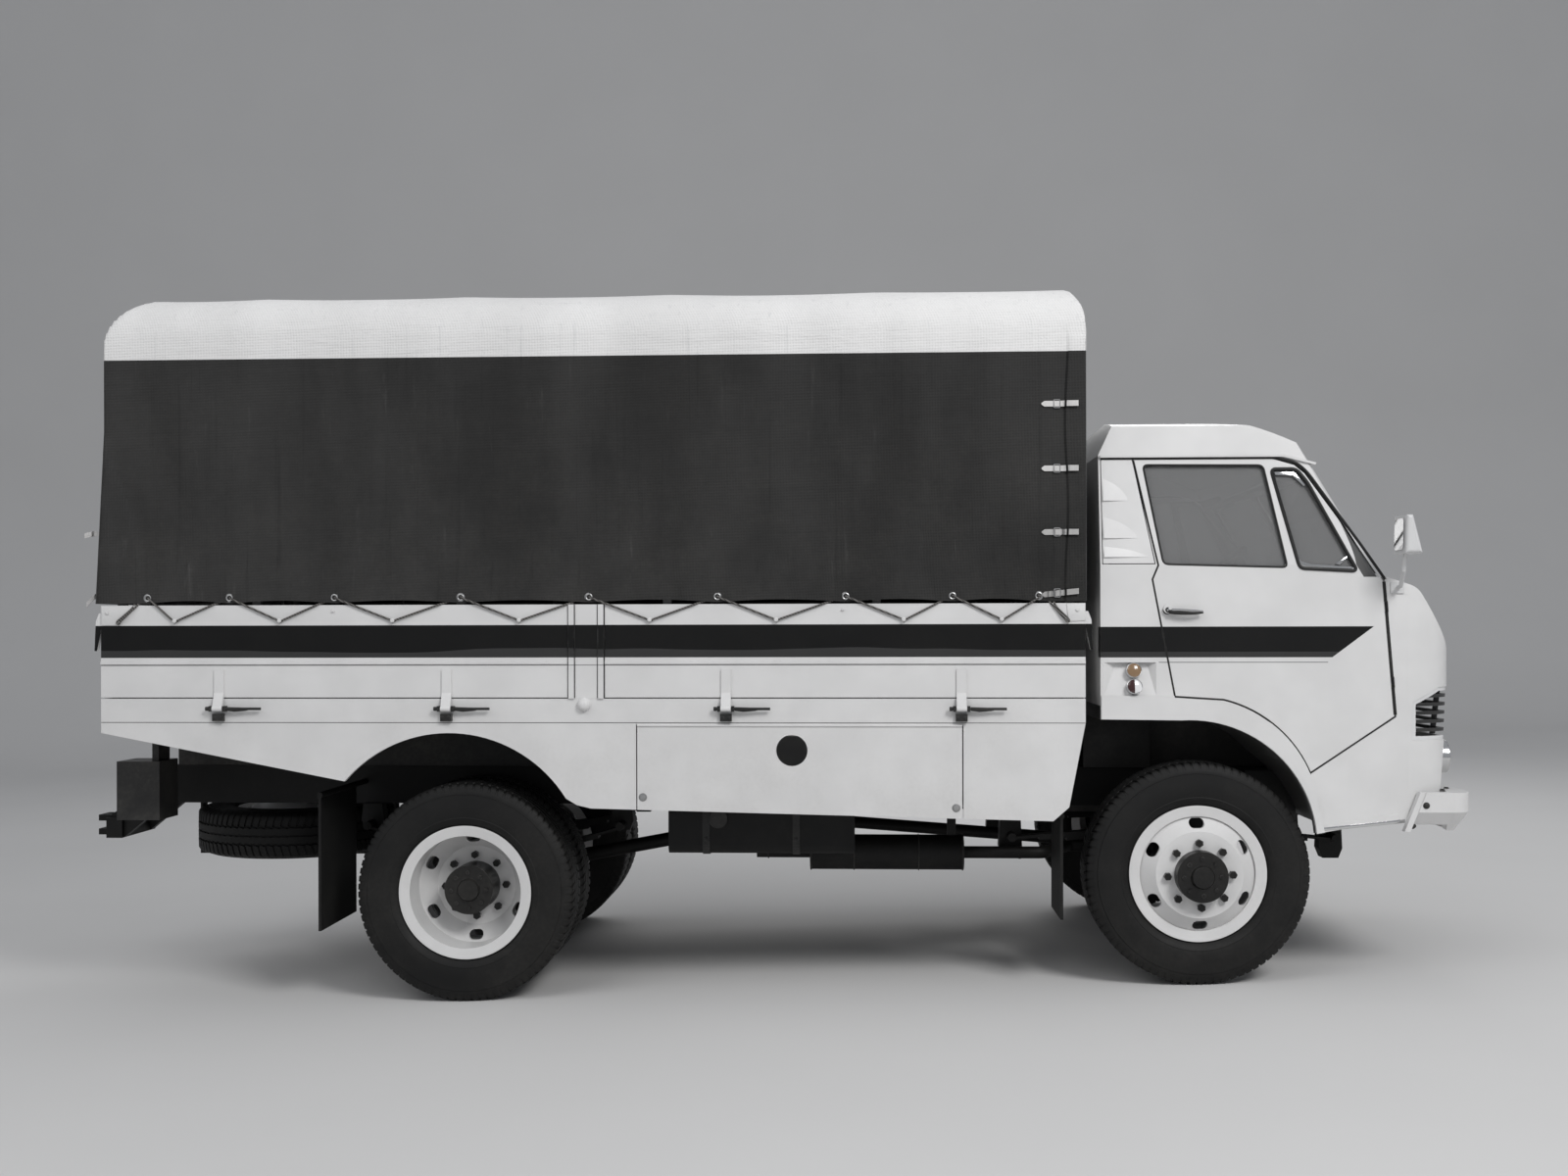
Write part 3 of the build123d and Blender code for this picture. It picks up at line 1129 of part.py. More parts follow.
def tilt_form(inset):
    """The tilt's closed form: rounded section across, rounded ends along."""
    with BuildPart() as form:
        with BuildSketch(across(bed_rear + 20 + inset)):
            low = tilt_hem - (10 if inset else 0)
            edge_y = half_width - inset
            with BuildLine():
                Polyline((-edge_y, tilt_shoulder), (-edge_y, low), (edge_y, low), (edge_y, tilt_shoulder))
                ThreePointArc((edge_y, tilt_shoulder), (edge_y - 52, tilt_edge_top - 68 - inset),
                              (tilt_shoulder_y, tilt_edge_top - inset))
                ThreePointArc((tilt_shoulder_y, tilt_edge_top - inset), (0, tilt_crown - inset),
                              (-tilt_shoulder_y, tilt_edge_top - inset))
                ThreePointArc((-tilt_shoulder_y, tilt_edge_top - inset), (-edge_y + 52, tilt_edge_top - 68 - inset),
                              (-edge_y, tilt_shoulder))
            make_face()
        extrude(amount=bed_front - bed_rear - 20 - 2 * inset)
        with BuildSketch(side(0)):
            rear = bed_rear + 20 + inset
            front = bed_front - inset
            with BuildLine():
                Line((rear, tilt_hem - 20), (rear, 2890))
                ThreePointArc((rear, 2890), (rear + 62, 3018 - inset), (rear + 190, tilt_edge_top - inset))
                Polyline((rear + 190, tilt_edge_top - inset), (rear + 400, tilt_crown + 10 - inset),
                         (front - 300, tilt_crown + 10 - inset), (front - 70, tilt_edge_top - inset))
                ThreePointArc((front - 70, tilt_edge_top - inset), (front - 17, 3018 - inset), (front, 2900))
                Polyline((front, 2900), (front, tilt_hem - 20), (rear, tilt_hem - 20))
            make_face()
        extrude(amount=1300, both=True, mode=Mode.INTERSECT)
    return form.part


with BuildPart() as canvas_cover:
    add(tilt_form(0))
    add(tilt_form(tilt_wall), mode=Mode.SUBTRACT)
finish(canvas_cover, "canvas_cover")

# The body's frame turns about the rear hubs on to the road, and the middle of the truck comes to X = 0
on_road = Location((0, 0, tyre_radius)) * Location((0, 0, 0), (0, rake, 0)) * Location((0, 0, -rear_hub_z))
for piece, standing in finished:
    if standing == "body":
        piece.part = piece.part.moved(on_road)
boxes = [piece.part.bounding_box() for piece, standing in finished]
middle_x = (min(box.min.X for box in boxes) + max(box.max.X for box in boxes)) / 2
low_z = min(box.min.Z for box in boxes)
for piece, standing in finished:
    piece.part = piece.part.moved(Location((-middle_x, 0, -low_z)))
    export_step(piece.part, f"parts/{piece.part.label}.step")
print("middle", middle_x, "low", low_z, "pieces", len(finished))
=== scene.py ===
# %% [markdown]
# # A cargo truck with a canvas tilt
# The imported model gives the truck's rigid pieces in their real places. This script dresses them: paint,
# canvas, rubber and glass, and the small things that a maker fits last. The frame comes first, because
# every later piece rides on one of its bodies.

# %% Load the frame
from math import atan2, cos, exp, hypot, pi, radians, sin

import bmesh
import bpy
from mathutils import Matrix, Vector, noise


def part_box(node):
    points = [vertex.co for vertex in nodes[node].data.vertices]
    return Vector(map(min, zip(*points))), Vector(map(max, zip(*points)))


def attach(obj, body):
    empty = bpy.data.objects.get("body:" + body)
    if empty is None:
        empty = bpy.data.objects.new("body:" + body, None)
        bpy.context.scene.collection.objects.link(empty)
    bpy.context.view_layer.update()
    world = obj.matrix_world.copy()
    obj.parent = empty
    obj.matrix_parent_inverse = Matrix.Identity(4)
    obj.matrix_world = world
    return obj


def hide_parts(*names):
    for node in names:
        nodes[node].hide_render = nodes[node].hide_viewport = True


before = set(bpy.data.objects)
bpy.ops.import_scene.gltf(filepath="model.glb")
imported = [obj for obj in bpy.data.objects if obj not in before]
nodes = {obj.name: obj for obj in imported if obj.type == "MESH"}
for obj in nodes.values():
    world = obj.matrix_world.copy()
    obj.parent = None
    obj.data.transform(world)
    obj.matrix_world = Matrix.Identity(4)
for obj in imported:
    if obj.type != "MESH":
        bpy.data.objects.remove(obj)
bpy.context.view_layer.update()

# %% [markdown]
# The truck stands a little nose down on its springs, so the body leans and the wheels don't. Pieces on
# the body are drawn square, with X forward from the rear axle and Z up from the ground, and one matrix
# leans them. Drawing them leaned would put a sine into every number.

# %% The body's own axes
LEAN = radians(1.77)
WHEELBASE = 3.175
TYRE_RADIUS = 0.4775
REAR_HUB_Z = 0.480
tyre_low, tyre_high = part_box("tyre_rear_right")
REAR_AXLE_X = (tyre_low.x + tyre_high.x) / 2
ROAD = Matrix.Translation((REAR_AXLE_X, 0, 0))
BODY = (ROAD @ Matrix.Translation((0, 0, TYRE_RADIUS)) @ Matrix.Rotation(LEAN, 4, "Y")
        @ Matrix.Translation((0, 0, -REAR_HUB_Z)))
SIDES = ((-1, "right"), (1, "left"))
print("rear axle at", round(REAR_AXLE_X, 4))

# %% [markdown]
# The photograph was taken from the right, eight metres off, with the lens level and a little above the
# boards. The camera takes the same place and lens, and comes before any material. Its height in the picture
# comes from a vertical shift, as on a view camera.

# %% Camera
EYE = Vector((1.731, -8.050, 1.634))
YAW = radians(2.7)
ROLL = radians(-0.12)
IMAGE_WIDTH = 1600
FOCAL_PIXELS = 1650
HORIZON_BELOW_MIDDLE = 41
lens = bpy.data.cameras.new("camera")
lens.sensor_width = 36.0
lens.lens = FOCAL_PIXELS / IMAGE_WIDTH * lens.sensor_width
lens.shift_y = HORIZON_BELOW_MIDDLE / IMAGE_WIDTH
lens.clip_end = 200
camera = bpy.data.objects.new("camera", lens)
bpy.context.scene.collection.objects.link(camera)
camera.matrix_world = (BODY @ Matrix.Translation(EYE) @ Matrix.Rotation(YAW, 4, "Z")
                       @ Matrix.Rotation(pi / 2, 4, "X") @ Matrix.Rotation(ROLL, 4, "Z"))
bpy.context.scene.camera = camera
print("lens", round(lens.lens, 2), "mm")

# %% [markdown]
# A material is easier to read when a node and what feeds it stand on one line. These helpers add a
# node or a group, and each named input is either a plain value or the output of another node.

# %% Node helpers
def feed(tree, socket, value):
    """A socket linked to the output of another node, or set to a plain value."""
    if isinstance(value, bpy.types.NodeSocket):
        tree.links.new(value, socket)
    else:
        socket.default_value = value


def node(tree, kind, inputs=None, **settings):
    """A new node of a tree, with its settings and with its inputs fed."""
    made = tree.nodes.new("ShaderNode" + kind)
    for name, value in settings.items():
        setattr(made, name, value)
    for name, value in (inputs or {}).items():
        feed(tree, made.inputs[name], value)
    return made

# %% [markdown]
# An effect that several finishes share is a group: it is built once, has named inputs with a usual
# value each, and every material places it with its own values.

# %% Group helpers
def new_group(name, sockets_in, sockets_out):
    """A shader group with float and colour sockets, and its two end nodes."""
    group = bpy.data.node_groups.new(name, "ShaderNodeTree")
    kinds = {float: "NodeSocketFloat", tuple: "NodeSocketColor"}
    for label, start in sockets_in.items():
        socket = group.interface.new_socket(label, in_out="INPUT", socket_type=kinds[type(start)])
        socket.default_value = start
    for label, kind in sockets_out.items():
        group.interface.new_socket(label, in_out="OUTPUT", socket_type=kinds[kind])
    print("group", name, "gives", ", ".join(sockets_out))
    return group, group.nodes.new("NodeGroupInput"), group.nodes.new("NodeGroupOutput")


def put_out(group, ends, **outputs):
    """What a group gives back, each output linked to the node that makes it."""
    for label, value in outputs.items():
        group.links.new(value, ends.inputs[label])


def use(tree, group, **inputs):
    """A group placed in a material; an underscore in an input's name stands for a space."""
    made = tree.nodes.new("ShaderNodeGroup")
    made.node_tree = group
    for name, value in inputs.items():
        feed(tree, made.inputs[name.replace("_", " ")], value)
    return made


def shade(level, warm=0.0):
    """An almost neutral colour of the given level, with a trace of warmth."""
    return (level * (1 + warm), level, level * (1 - warm), 1)


# %% [markdown]
# Masks are sums and products of simple questions, such as whether a point is above a line. A short
# function for each sum keeps a mask readable, where a row of raw maths nodes would hide it.

# %% Sums with node outputs
def maths(tree, operation, first, second=0.0, third=0.0):
    """The output of a maths node."""
    return node(tree, "Math", {0: first, 1: second, 2: third}, operation=operation).outputs[0]


def product(tree, first, *others):
    """Values multiplied, which for masks means where all of them hold."""
    for other in others:
        first = maths(tree, "MULTIPLY", first, other)
    return first


def total(tree, first, second):
    """The sum of two values."""
    return maths(tree, "ADD", first, second)


def minus(tree, first, second):
    """The difference of two values."""
    return maths(tree, "SUBTRACT", first, second)


def largest(tree, first, *others):
    """The largest of some values, which for masks means where any of them holds."""
    for other in others:
        first = maths(tree, "MAXIMUM", first, other)
    return first


def size_of(tree, value):
    """A value without its sign."""
    return maths(tree, "ABSOLUTE", value)

# %% [markdown]
# A question about a value is answered with 1 or 0, and two of them make a stripe. Where an edge has to
# be soft, a value is spread over a range instead.

# %% Questions about a value
def below(tree, value, limit):
    """1 where a value is less than a limit."""
    return maths(tree, "LESS_THAN", value, limit)


def beyond(tree, value, limit):
    """1 where a value is more than a limit."""
    return maths(tree, "GREATER_THAN", value, limit)


def inside(tree, value, low, high):
    """1 where a value lies between two others."""
    return product(tree, beyond(tree, value, low), below(tree, value, high))


def spread(tree, value, low, high, to_low=0.0, to_high=1.0, curve="SMOOTHSTEP"):
    """A value mapped from one range to another and held inside it."""
    return node(tree, "MapRange", {"Value": value, "From Min": low, "From Max": high, "To Min": to_low,
                                   "To Max": to_high}, interpolation_type=curve).outputs[0]

# %% [markdown]
# With a mask made, a colour mix puts one colour over another. Noise makes masks that look like nothing
# drawn, and it reads each piece's own coordinates, so that dirt stays where it is on a piece that moves.

# %% Mixes, places and noise
def mixed(tree, factor, first, second):
    """The output of a colour mix."""
    made = node(tree, "Mix", data_type="RGBA")
    for number, value in ((0, factor), (6, first), (7, second)):
        feed(tree, made.inputs[number], value)
    return made.outputs[2]


def own_place(tree):
    """A point's place in its piece's own coordinates, which stay with the piece when it moves."""
    return node(tree, "TexCoord").outputs["Object"]


def cloudy(tree, vector, scale, detail, **more):
    """The value of a noise texture."""
    extra = {name.replace("_", " "): value for name, value in more.items()}
    made = node(tree, "TexNoise", {"Vector": vector, "Scale": scale, "Detail": detail, **extra})
    return made.outputs["Fac"]


# %% [markdown]
# Stripes, dust and the two tones of the tilt all depend on where a point is on the body. This group
# gives that place along the body's leaning axes, so a stripe stays parallel to its board, and it
# moves with a board that swings, because it reads the piece's own coordinates.

# %% Place on the body
place_group, _, ends = new_group("place_on_body", {}, {"Along": float, "Across": float, "Height": float})
own = own_place(place_group)
to_body = BODY.inverted()
for row, label in enumerate(("Along", "Across", "Height")):
    dot = node(place_group, "VectorMath", {0: own, 1: to_body[row][:3]}, operation="DOT_PRODUCT")
    put_out(place_group, ends, **{label: total(place_group, dot.outputs["Value"], to_body[row][3])})


def body_place(tree):
    """Along, across and height of a point on the body."""
    place = use(tree, place_group)
    return place.outputs["Along"], place.outputs["Across"], place.outputs["Height"]


def drawn_out(tree, along, across, height):
    """The place on the body scaled along each axis, to draw a texture out into streaks."""
    axes = zip("XYZ", body_place(tree), (along, across, height))
    drawn = {axis: product(tree, value, scale) for axis, value, scale in axes}
    return node(tree, "CombineXYZ", drawn).outputs[0]


# %% [markdown]
# Road dust settles on the lower parts and in uneven patches, whatever lies under it. The group takes
# a finish's colour and gives it back dusted, with the mask for its roughness.

# %% Dust
dust_group, start, ends = new_group(
    "road_dust", {"Colour": (0.5, 0.5, 0.5, 1), "Dust colour": (0.3, 0.28, 0.25, 1), "Amount": 0.3,
                  "Low": 0.4, "High": 1.4}, {"Colour": tuple, "Mask": float})
own = own_place(dust_group)
patches = spread(dust_group, cloudy(dust_group, own, 3.1, 6.0, Roughness=0.65), 0.3, 0.75)
grit = spread(dust_group, cloudy(dust_group, own, 60.0, 3.0), 0.35, 0.7, 0.6, 1.0)
fall = spread(dust_group, body_place(dust_group)[2], start.outputs["Low"], start.outputs["High"], 1.0, 0.12,
              curve="LINEAR")
mask = product(dust_group, patches, grit, fall, start.outputs["Amount"])
dusted = mixed(dust_group, mask, start.outputs["Colour"], start.outputs["Dust colour"])
put_out(dust_group, ends, Colour=dusted, Mask=mask)

# %% [markdown]
# Handled and brushed edges lose their paint first. A bevel node softens the normal near an edge, so
# the angle between it and the plain normal marks the edges, and a noise breaks the mark up.

# %% Edge wear
wear_group, start, ends = new_group("edge_wear", {"Width": 0.003, "Strength": 0.6}, {"Mask": float})
soft = node(wear_group, "Bevel", {"Radius": start.outputs["Width"]}, samples=4)
plain = node(wear_group, "NewGeometry").outputs["Normal"]
bend = node(wear_group, "VectorMath", {0: soft.outputs[0], 1: plain}, operation="DOT_PRODUCT")
edge = spread(wear_group, bend.outputs["Value"], 0.98, 0.8)
broken = spread(wear_group, cloudy(wear_group, own_place(wear_group), 24.0, 5.0), 0.42, 0.62)
put_out(wear_group, ends, Mask=product(wear_group, edge, broken, start.outputs["Strength"]))

# %% [markdown]
# Sprayed paint, cast iron and rubber all have a fine unevenness that differs only in size. One group
# makes it as a height for the bump node, with a slow ripple for the sheet beneath.

# %% Fine surface
surface_group, start, ends = new_group("fine_surface", {"Scale": 300.0, "Grain": 0.3, "Ripple": 0.3},
                                       {"Height": float, "Variation": float})
own = own_place(surface_group)
grains = cloudy(surface_group, own, start.outputs["Scale"], 3.0)
fine = product(surface_group, grains, start.outputs["Grain"])
slow = cloudy(surface_group, own, 5.0, 2.0)
ripple = product(surface_group, slow, start.outputs["Ripple"])
put_out(surface_group, ends, Height=total(surface_group, fine, ripple), Variation=slow)

# %% [markdown]
# Every finish starts from the Principled shader. Paint over steel adds worn edges, dust and orange
# peel to it, and differs from piece to piece only in colour, gloss and how much the road has done.

# %% Paint over steel
PAINT_SPECULAR = 0.25
METAL_SPECULAR = 0.5


def finish(name, specular=METAL_SPECULAR, **plain):
    """A material with its tree and its Principled shader, whose plain values are set on its sockets."""
    material = bpy.data.materials.new(name)
    material.use_nodes = True
    shader = material.node_tree.nodes["Principled BSDF"]
    shader.inputs["Specular IOR Level"].default_value = specular
    for key, value in plain.items():
        shader.inputs[key.replace("_", " ")].default_value = value
    print("finish", name)
    return material, material.node_tree, shader


def bumped(tree, shader, height, distance, strength=1.0):
    """A height fed to the shader's normal."""
    bump = node(tree, "Bump", {"Height": height, "Distance": distance, "Strength": strength})
    tree.links.new(bump.outputs[0], shader.inputs["Normal"])


def dust_over(tree, shader, colour, amount, low, high, roughness, dulling):
    """A colour under road dust fed to the shader, which the dust makes duller."""
    dusted = use(tree, dust_group, Colour=colour, Amount=amount, Low=low, High=high)
    tree.links.new(dusted.outputs["Colour"], shader.inputs["Base Color"])
    dull = total(tree, product(tree, dusted.outputs["Mask"], dulling), roughness)
    tree.links.new(dull, shader.inputs["Roughness"])


def painted(name, colour, worn, roughness=0.35, dust=0.3, low=0.4, high=1.5, edge=0.5, metallic=0.0,
            grain=320.0, coat=0.0, depth=0.0006):
    """Sprayed paint: its colour is a value or a function of the tree, and its edges wear through."""
    material, tree, shader = finish(name, METAL_SPECULAR if metallic else PAINT_SPECULAR, Metallic=metallic,
                                    Coat_Weight=coat, Coat_Roughness=0.15)
    colour = colour(tree) if callable(colour) else colour
    wear = use(tree, wear_group, Strength=edge)
    surface = use(tree, surface_group, Scale=grain)
    level = spread(tree, surface.outputs["Variation"], 0.2, 0.8, 0.95, 1.04)
    bare = mixed(tree, wear.outputs["Mask"], colour, worn)
    tone = node(tree, "HueSaturation", {"Color": bare, "Value": level}).outputs[0]
    dust_over(tree, shader, tone, dust, low, high, roughness, 0.5)
    bumped(tree, shader, surface.outputs["Height"], depth)
    return material


# %% [markdown]
# The cab and the bed are one pale paint with a dark stripe, whose lower edge gets a lighter band of painted
# sky reflection. The stripe is paint, so it belongs in the material: a mask from the place on the body,
# which ends in an arrow on the door. A strip of geometry would cast a shadow that paint doesn't have.

# %% Body paint and its stripe
PALE = shade(0.66, 0.008)
DARK = shade(0.004)
# A lighter grey for the stripe's lower chamfer: a painted reflection of the sky, not a paint colour.
PAINTED_SHEEN = shade(0.035)
CAB_STRIPE = (1.506, 1.637)
BOARD_STRIPE = (1.510, 1.650)
CAB_SHEEN_TOP = 1.53
ARROW = (3.728, 3.902)
CAB_OUTSIDE_Y = 1.03
BOARD_OUTSIDE_Y = 1.14


def stripe(tree, heights, sheen_top, outside_y, arrow=None):
    """The pale paint with a stripe between two heights and a painted sky reflection below a height; an
    arrow gives the X of its lower and upper end.
    """
    along, across, height = body_place(tree)
    on_stripe = inside(tree, height, *heights)
    if arrow:
        tip = spread(tree, height, *heights, *arrow, curve="LINEAR")
        on_stripe = product(tree, on_stripe, below(tree, along, tip))
    on_stripe = product(tree, on_stripe, beyond(tree, size_of(tree, across), outside_y))
    # Below the sheen's top the stripe takes the lighter painted reflection instead of its dark paint.
    return mixed(tree, on_stripe, PALE, mixed(tree, below(tree, height, sheen_top), DARK, PAINTED_SHEEN))


# %% [markdown]
# The cab is one shell, so its lining, its black underseal, and the painted shadows along the hinge line and
# under the door's crease are told apart by place as well. The flank's slope and the windscreen's plane are
# named here once, because the window rubbers follow them later.

# %% Measures of the cab
BELT_Z = 1.898
ROOF_Z = 2.500
FLANK_Y = 1.100
ROOF_FLANK_Y = 1.024
FLANK_LEAN = (FLANK_Y - ROOF_FLANK_Y) / (ROOF_Z - BELT_Z)
SCREEN_LEAN = 0.6057
SCREEN_AT_ROAD = 3.684 + 2.296 * SCREEN_LEAN
LINING_Y = FLANK_Y - 0.004
LINING_X = (2.79, 3.985)
LINING_TOP = 2.33
SCREEN_SETBACK = 0.0297
SCOOP_TOP = 1.49
SCOOP_DEPTH = 0.034
DOOR_REAR_X = 3.0
UNDERSEAL_TOP = 1.30
UNDERSEAL_FRONT = 3.95
UNDERSEAL_Y = 1.097
NOSE_X = 3.75
NOSE_INSET = 0.039
FOOT_TOP = 1.2385
HINGE_AT_ROAD = 4.0924
HINGE_LEAN = 0.0816
HINGE_HALF_WIDTH = 0.0072
HINGE_Z = (1.262, 1.826)
HINGE_INNER_Y = 1.05
# Heights and X of a painted shadow line under the door's crease.
CREASE_SHADOW_Z = (1.483, 1.488)
CREASE_SHADOW_X = (DOOR_REAR_X, 3.71)
print("lean of flank", round(FLANK_LEAN, 4), "and windscreen", SCREEN_LEAN)

# %% [markdown]
# Each mask follows a surface with a little room to spare, since a face that lies exactly on the limit
# would flicker between two colours. The lining ends behind the windscreen, and the underseal behind
# the lip of the wheel arch.

# %% Cab colours by place
def lining_mask(tree, along, reach, height):
    """1 on the faces inside the cab."""
    above_belt = largest(tree, minus(tree, height, BELT_Z), 0.0)
    wall = minus(tree, LINING_Y, product(tree, above_belt, FLANK_LEAN))
    scoop = product(tree, below(tree, height, SCOOP_TOP), below(tree, along, DOOR_REAR_X), SCOOP_DEPTH)
    screen = minus(tree, SCREEN_AT_ROAD - SCREEN_SETBACK, product(tree, height, SCREEN_LEAN))
    front = maths(tree, "MINIMUM", screen, LINING_X[1])
    behind_wall = below(tree, reach, minus(tree, wall, scoop))
    return product(tree, behind_wall, inside(tree, along, LINING_X[0], front),
                   below(tree, height, LINING_TOP))


def underseal_and_hinge_shadow_mask(tree, along, reach, height):
    """1 on the black underseal below the cab, and on a painted shadow along the door's hinge line."""
    lip = minus(tree, UNDERSEAL_Y, product(tree, beyond(tree, along, NOSE_X), NOSE_INSET))
    arch = product(tree, below(tree, height, UNDERSEAL_TOP), below(tree, reach, lip),
                   below(tree, along, UNDERSEAL_FRONT))
    foot = product(tree, below(tree, height, FOOT_TOP), below(tree, along, DOOR_REAR_X))
    # A thin band along the door's front edge: a painted shadow of the hinge gap.
    off_hinge = minus(tree, along, minus(tree, HINGE_AT_ROAD, product(tree, height, HINGE_LEAN)))
    hinge_shadow = product(tree, below(tree, size_of(tree, off_hinge), HINGE_HALF_WIDTH),
                    inside(tree, height, *HINGE_Z), beyond(tree, reach, HINGE_INNER_Y))
    return largest(tree, arch, foot, hinge_shadow)


def cab_colour(tree):
    """The cab: pale outside with its stripe and a painted shadow under the crease, dark trim inside, and
    black underseal below with a painted shadow along the hinge line.
    """
    along, across, height = body_place(tree)
    reach = size_of(tree, across)
    # The crease mask places a painted shadow: a grey line mixed over the paint.
    crease = product(tree, inside(tree, height, *CREASE_SHADOW_Z), inside(tree, along, *CREASE_SHADOW_X), 0.75)
    striped = stripe(tree, CAB_STRIPE, CAB_SHEEN_TOP, CAB_OUTSIDE_Y, ARROW)
    outside = mixed(tree, crease, striped, shade(0.2))
    # Black for the underseal, and a painted shadow along the hinge line.
    sealed_and_shaded = mixed(tree, underseal_and_hinge_shadow_mask(tree, along, reach, height), outside, shade(0.005))
    return mixed(tree, lining_mask(tree, along, reach, height), sealed_and_shaded, shade(0.10, 0.01))


# %% [markdown]
# The stripe on the boards gets a painted reflection of the sky along its foot in a soft wave, which a slow
# noise along the truck draws. A thin dark line below it is a painted shadow under the edge of the lowest
# plank.

# %% Board colours by place
# Heights of a painted shadow line under the lowest plank's edge.
PLANK_SHADOW_Z = (1.4755, 1.4795)
GLINT_Z = 1.512
GLINT_RISE = 0.06


def board_colour(tree):
    """The boards: the stripe, with a painted sky reflection along its foot, and a painted shadow line under
    it.
    """
    along, _, height = body_place(tree)
    # The top of the painted sky reflection along the stripe's foot wanders with a slow noise.
    wave = node(tree, "TexNoise", {"W": product(tree, along, 0.9), "Scale": 1.0}, noise_dimensions="1D")
    glint_top = total(tree, GLINT_Z, product(tree, wave.outputs["Fac"], GLINT_RISE))
    line = product(tree, inside(tree, height, *PLANK_SHADOW_Z), 0.8)
    return mixed(tree, line, stripe(tree, BOARD_STRIPE, glint_top, BOARD_OUTSIDE_Y), shade(0.14))


# %% [markdown]
# On a wheel the colours change with the distance from the axle: black hub, pale disc, black nuts in a
# ring, and the brake drum dark behind the holes. The group measures that distance at whichever axle
# is nearer, together with how far a point stands out from the disc.

# %% Wheel colours by place
DISC_FACE_REAR = 0.828
DISC_FACE_FRONT = 1.0855
HUB_RADIUS = 0.1095
NUT_RING = (0.116, 0.159)
DRUM_RADIUS = 0.187
axle_group, _, ends = new_group("from_axle", {}, {"Radius": float, "Outward": float})
split = node(axle_group, "SeparateXYZ", {0: own_place(axle_group)})
behind = minus(axle_group, split.outputs["X"], REAR_AXLE_X)
is_front = beyond(axle_group, behind, WHEELBASE / 2)
beside = minus(axle_group, behind, product(axle_group, is_front, WHEELBASE))
over = minus(axle_group, split.outputs["Z"], TYRE_RADIUS)
square = total(axle_group, product(axle_group, beside, beside), product(axle_group, over, over))
face_step = product(axle_group, is_front, DISC_FACE_FRONT - DISC_FACE_REAR)
disc_face = total(axle_group, DISC_FACE_REAR, face_step)
outward = minus(axle_group, size_of(axle_group, split.outputs["Y"]), disc_face)
put_out(axle_group, ends, Radius=maths(axle_group, "SQRT", square), Outward=outward)


def wheel_colour(tree):
    """A pale disc and rim with a black hub, black nuts and a black drum behind them."""
    axle = use(tree, axle_group)
    radius, outward = axle.outputs["Radius"], axle.outputs["Outward"]
    hub = product(tree, below(tree, radius, HUB_RADIUS), beyond(tree, outward, 0.0005))
    nuts = product(tree, inside(tree, radius, *NUT_RING), beyond(tree, outward, 0.001))
    drum = product(tree, below(tree, radius, DRUM_RADIUS), below(tree, outward, -0.0125))
    return mixed(tree, largest(tree, hub, drum, nuts), PALE, shade(0.007))


# %% [markdown]
# Now the paints are one line each. Chassis paint is rougher and darker than the body's, castings have
# a coarse grain, and pieces that face the road take more dust.

# %% Paints
WORN_PRIMER = shade(0.30, 0.02)
cab_paint = painted("cab_paint", cab_colour, WORN_PRIMER, 0.28, dust=0.10, edge=0.25, coat=0.15)
board_paint = painted("board_paint", board_colour, WORN_PRIMER, 0.34, dust=0.08, edge=0.4)
bed_paint = painted("bed_paint", PALE, WORN_PRIMER, 0.34, dust=0.28, edge=0.4)
wheel_paint = painted("wheel_paint", wheel_colour, WORN_PRIMER, 0.34, dust=0.10, low=0.0, high=1.6,
                      edge=0.4)
chassis_paint = painted("chassis_paint", shade(0.005), shade(0.04, 0.05), 0.55, dust=0.05, low=0.2,
                        high=1.3, edge=0.35, grain=180.0)
cast_iron = painted("cast_iron", shade(0.045, 0.02), shade(0.12, 0.05), 0.62, dust=0.5, edge=0.4,
                    grain=90.0, depth=0.002)
hoop_paint = painted("hoop_paint", shade(0.2, 0.02), shade(0.35), 0.45, dust=0.1, edge=0.4)
mirror_paint = painted("mirror_paint", shade(0.6), shade(0.2), 0.35, dust=0.1, edge=0.3)
lamp_paint = painted("lamp_paint", shade(0.02), shade(0.1), 0.4, dust=0.3, edge=0.3)
trim_plastic = painted("trim_plastic", shade(0.035), shade(0.08), 0.5, dust=0.15, low=1.2, high=2.2,
                       edge=0.2, grain=700.0)
black_steel = painted("black_steel", shade(0.02), shade(0.12), 0.45, dust=0.2, edge=0.4)
print("paints", len(bpy.data.materials))

# %% [markdown]
# Canvas is woven from thick threads, so close up it shows a grid of tiny bumps, and from a step away
# a slightly cloudy tone with pale scuffs. The weave is a group, because the straps are woven too, with
# finer threads and less wear.

# %% Weave
weave_group, start, ends = new_group("cloth_weave", {"Threads": 520.0, "Wear": 0.5},
                                     {"Height": float, "Cloud": float, "Scuff": float})
own = own_place(weave_group)
split = node(weave_group, "SeparateXYZ", {0: own})
across_cloth = total(weave_group, split.outputs["X"], split.outputs["Y"])
warp = maths(weave_group, "SINE", product(weave_group, across_cloth, start.outputs["Threads"]))
weft = maths(weave_group, "SINE", product(weave_group, split.outputs["Z"], start.outputs["Threads"]))
thread = product(weave_group, total(weave_group, warp, weft), 0.25)
slub = cloudy(weave_group, own, 90.0, 4.0)
drawn_down = node(weave_group, "Mapping", {"Vector": own, "Scale": (1.0, 1.0, 0.35)}).outputs[0]
cloud = cloudy(weave_group, drawn_down, 2.3, 7.0, Roughness=0.6)
streaked = node(weave_group, "Mapping", {"Vector": own, "Scale": (7.0, 7.0, 0.6)}).outputs[0]
scuffs = spread(weave_group, cloudy(weave_group, streaked, 3.0, 8.0, Roughness=0.7), 0.6, 0.78)
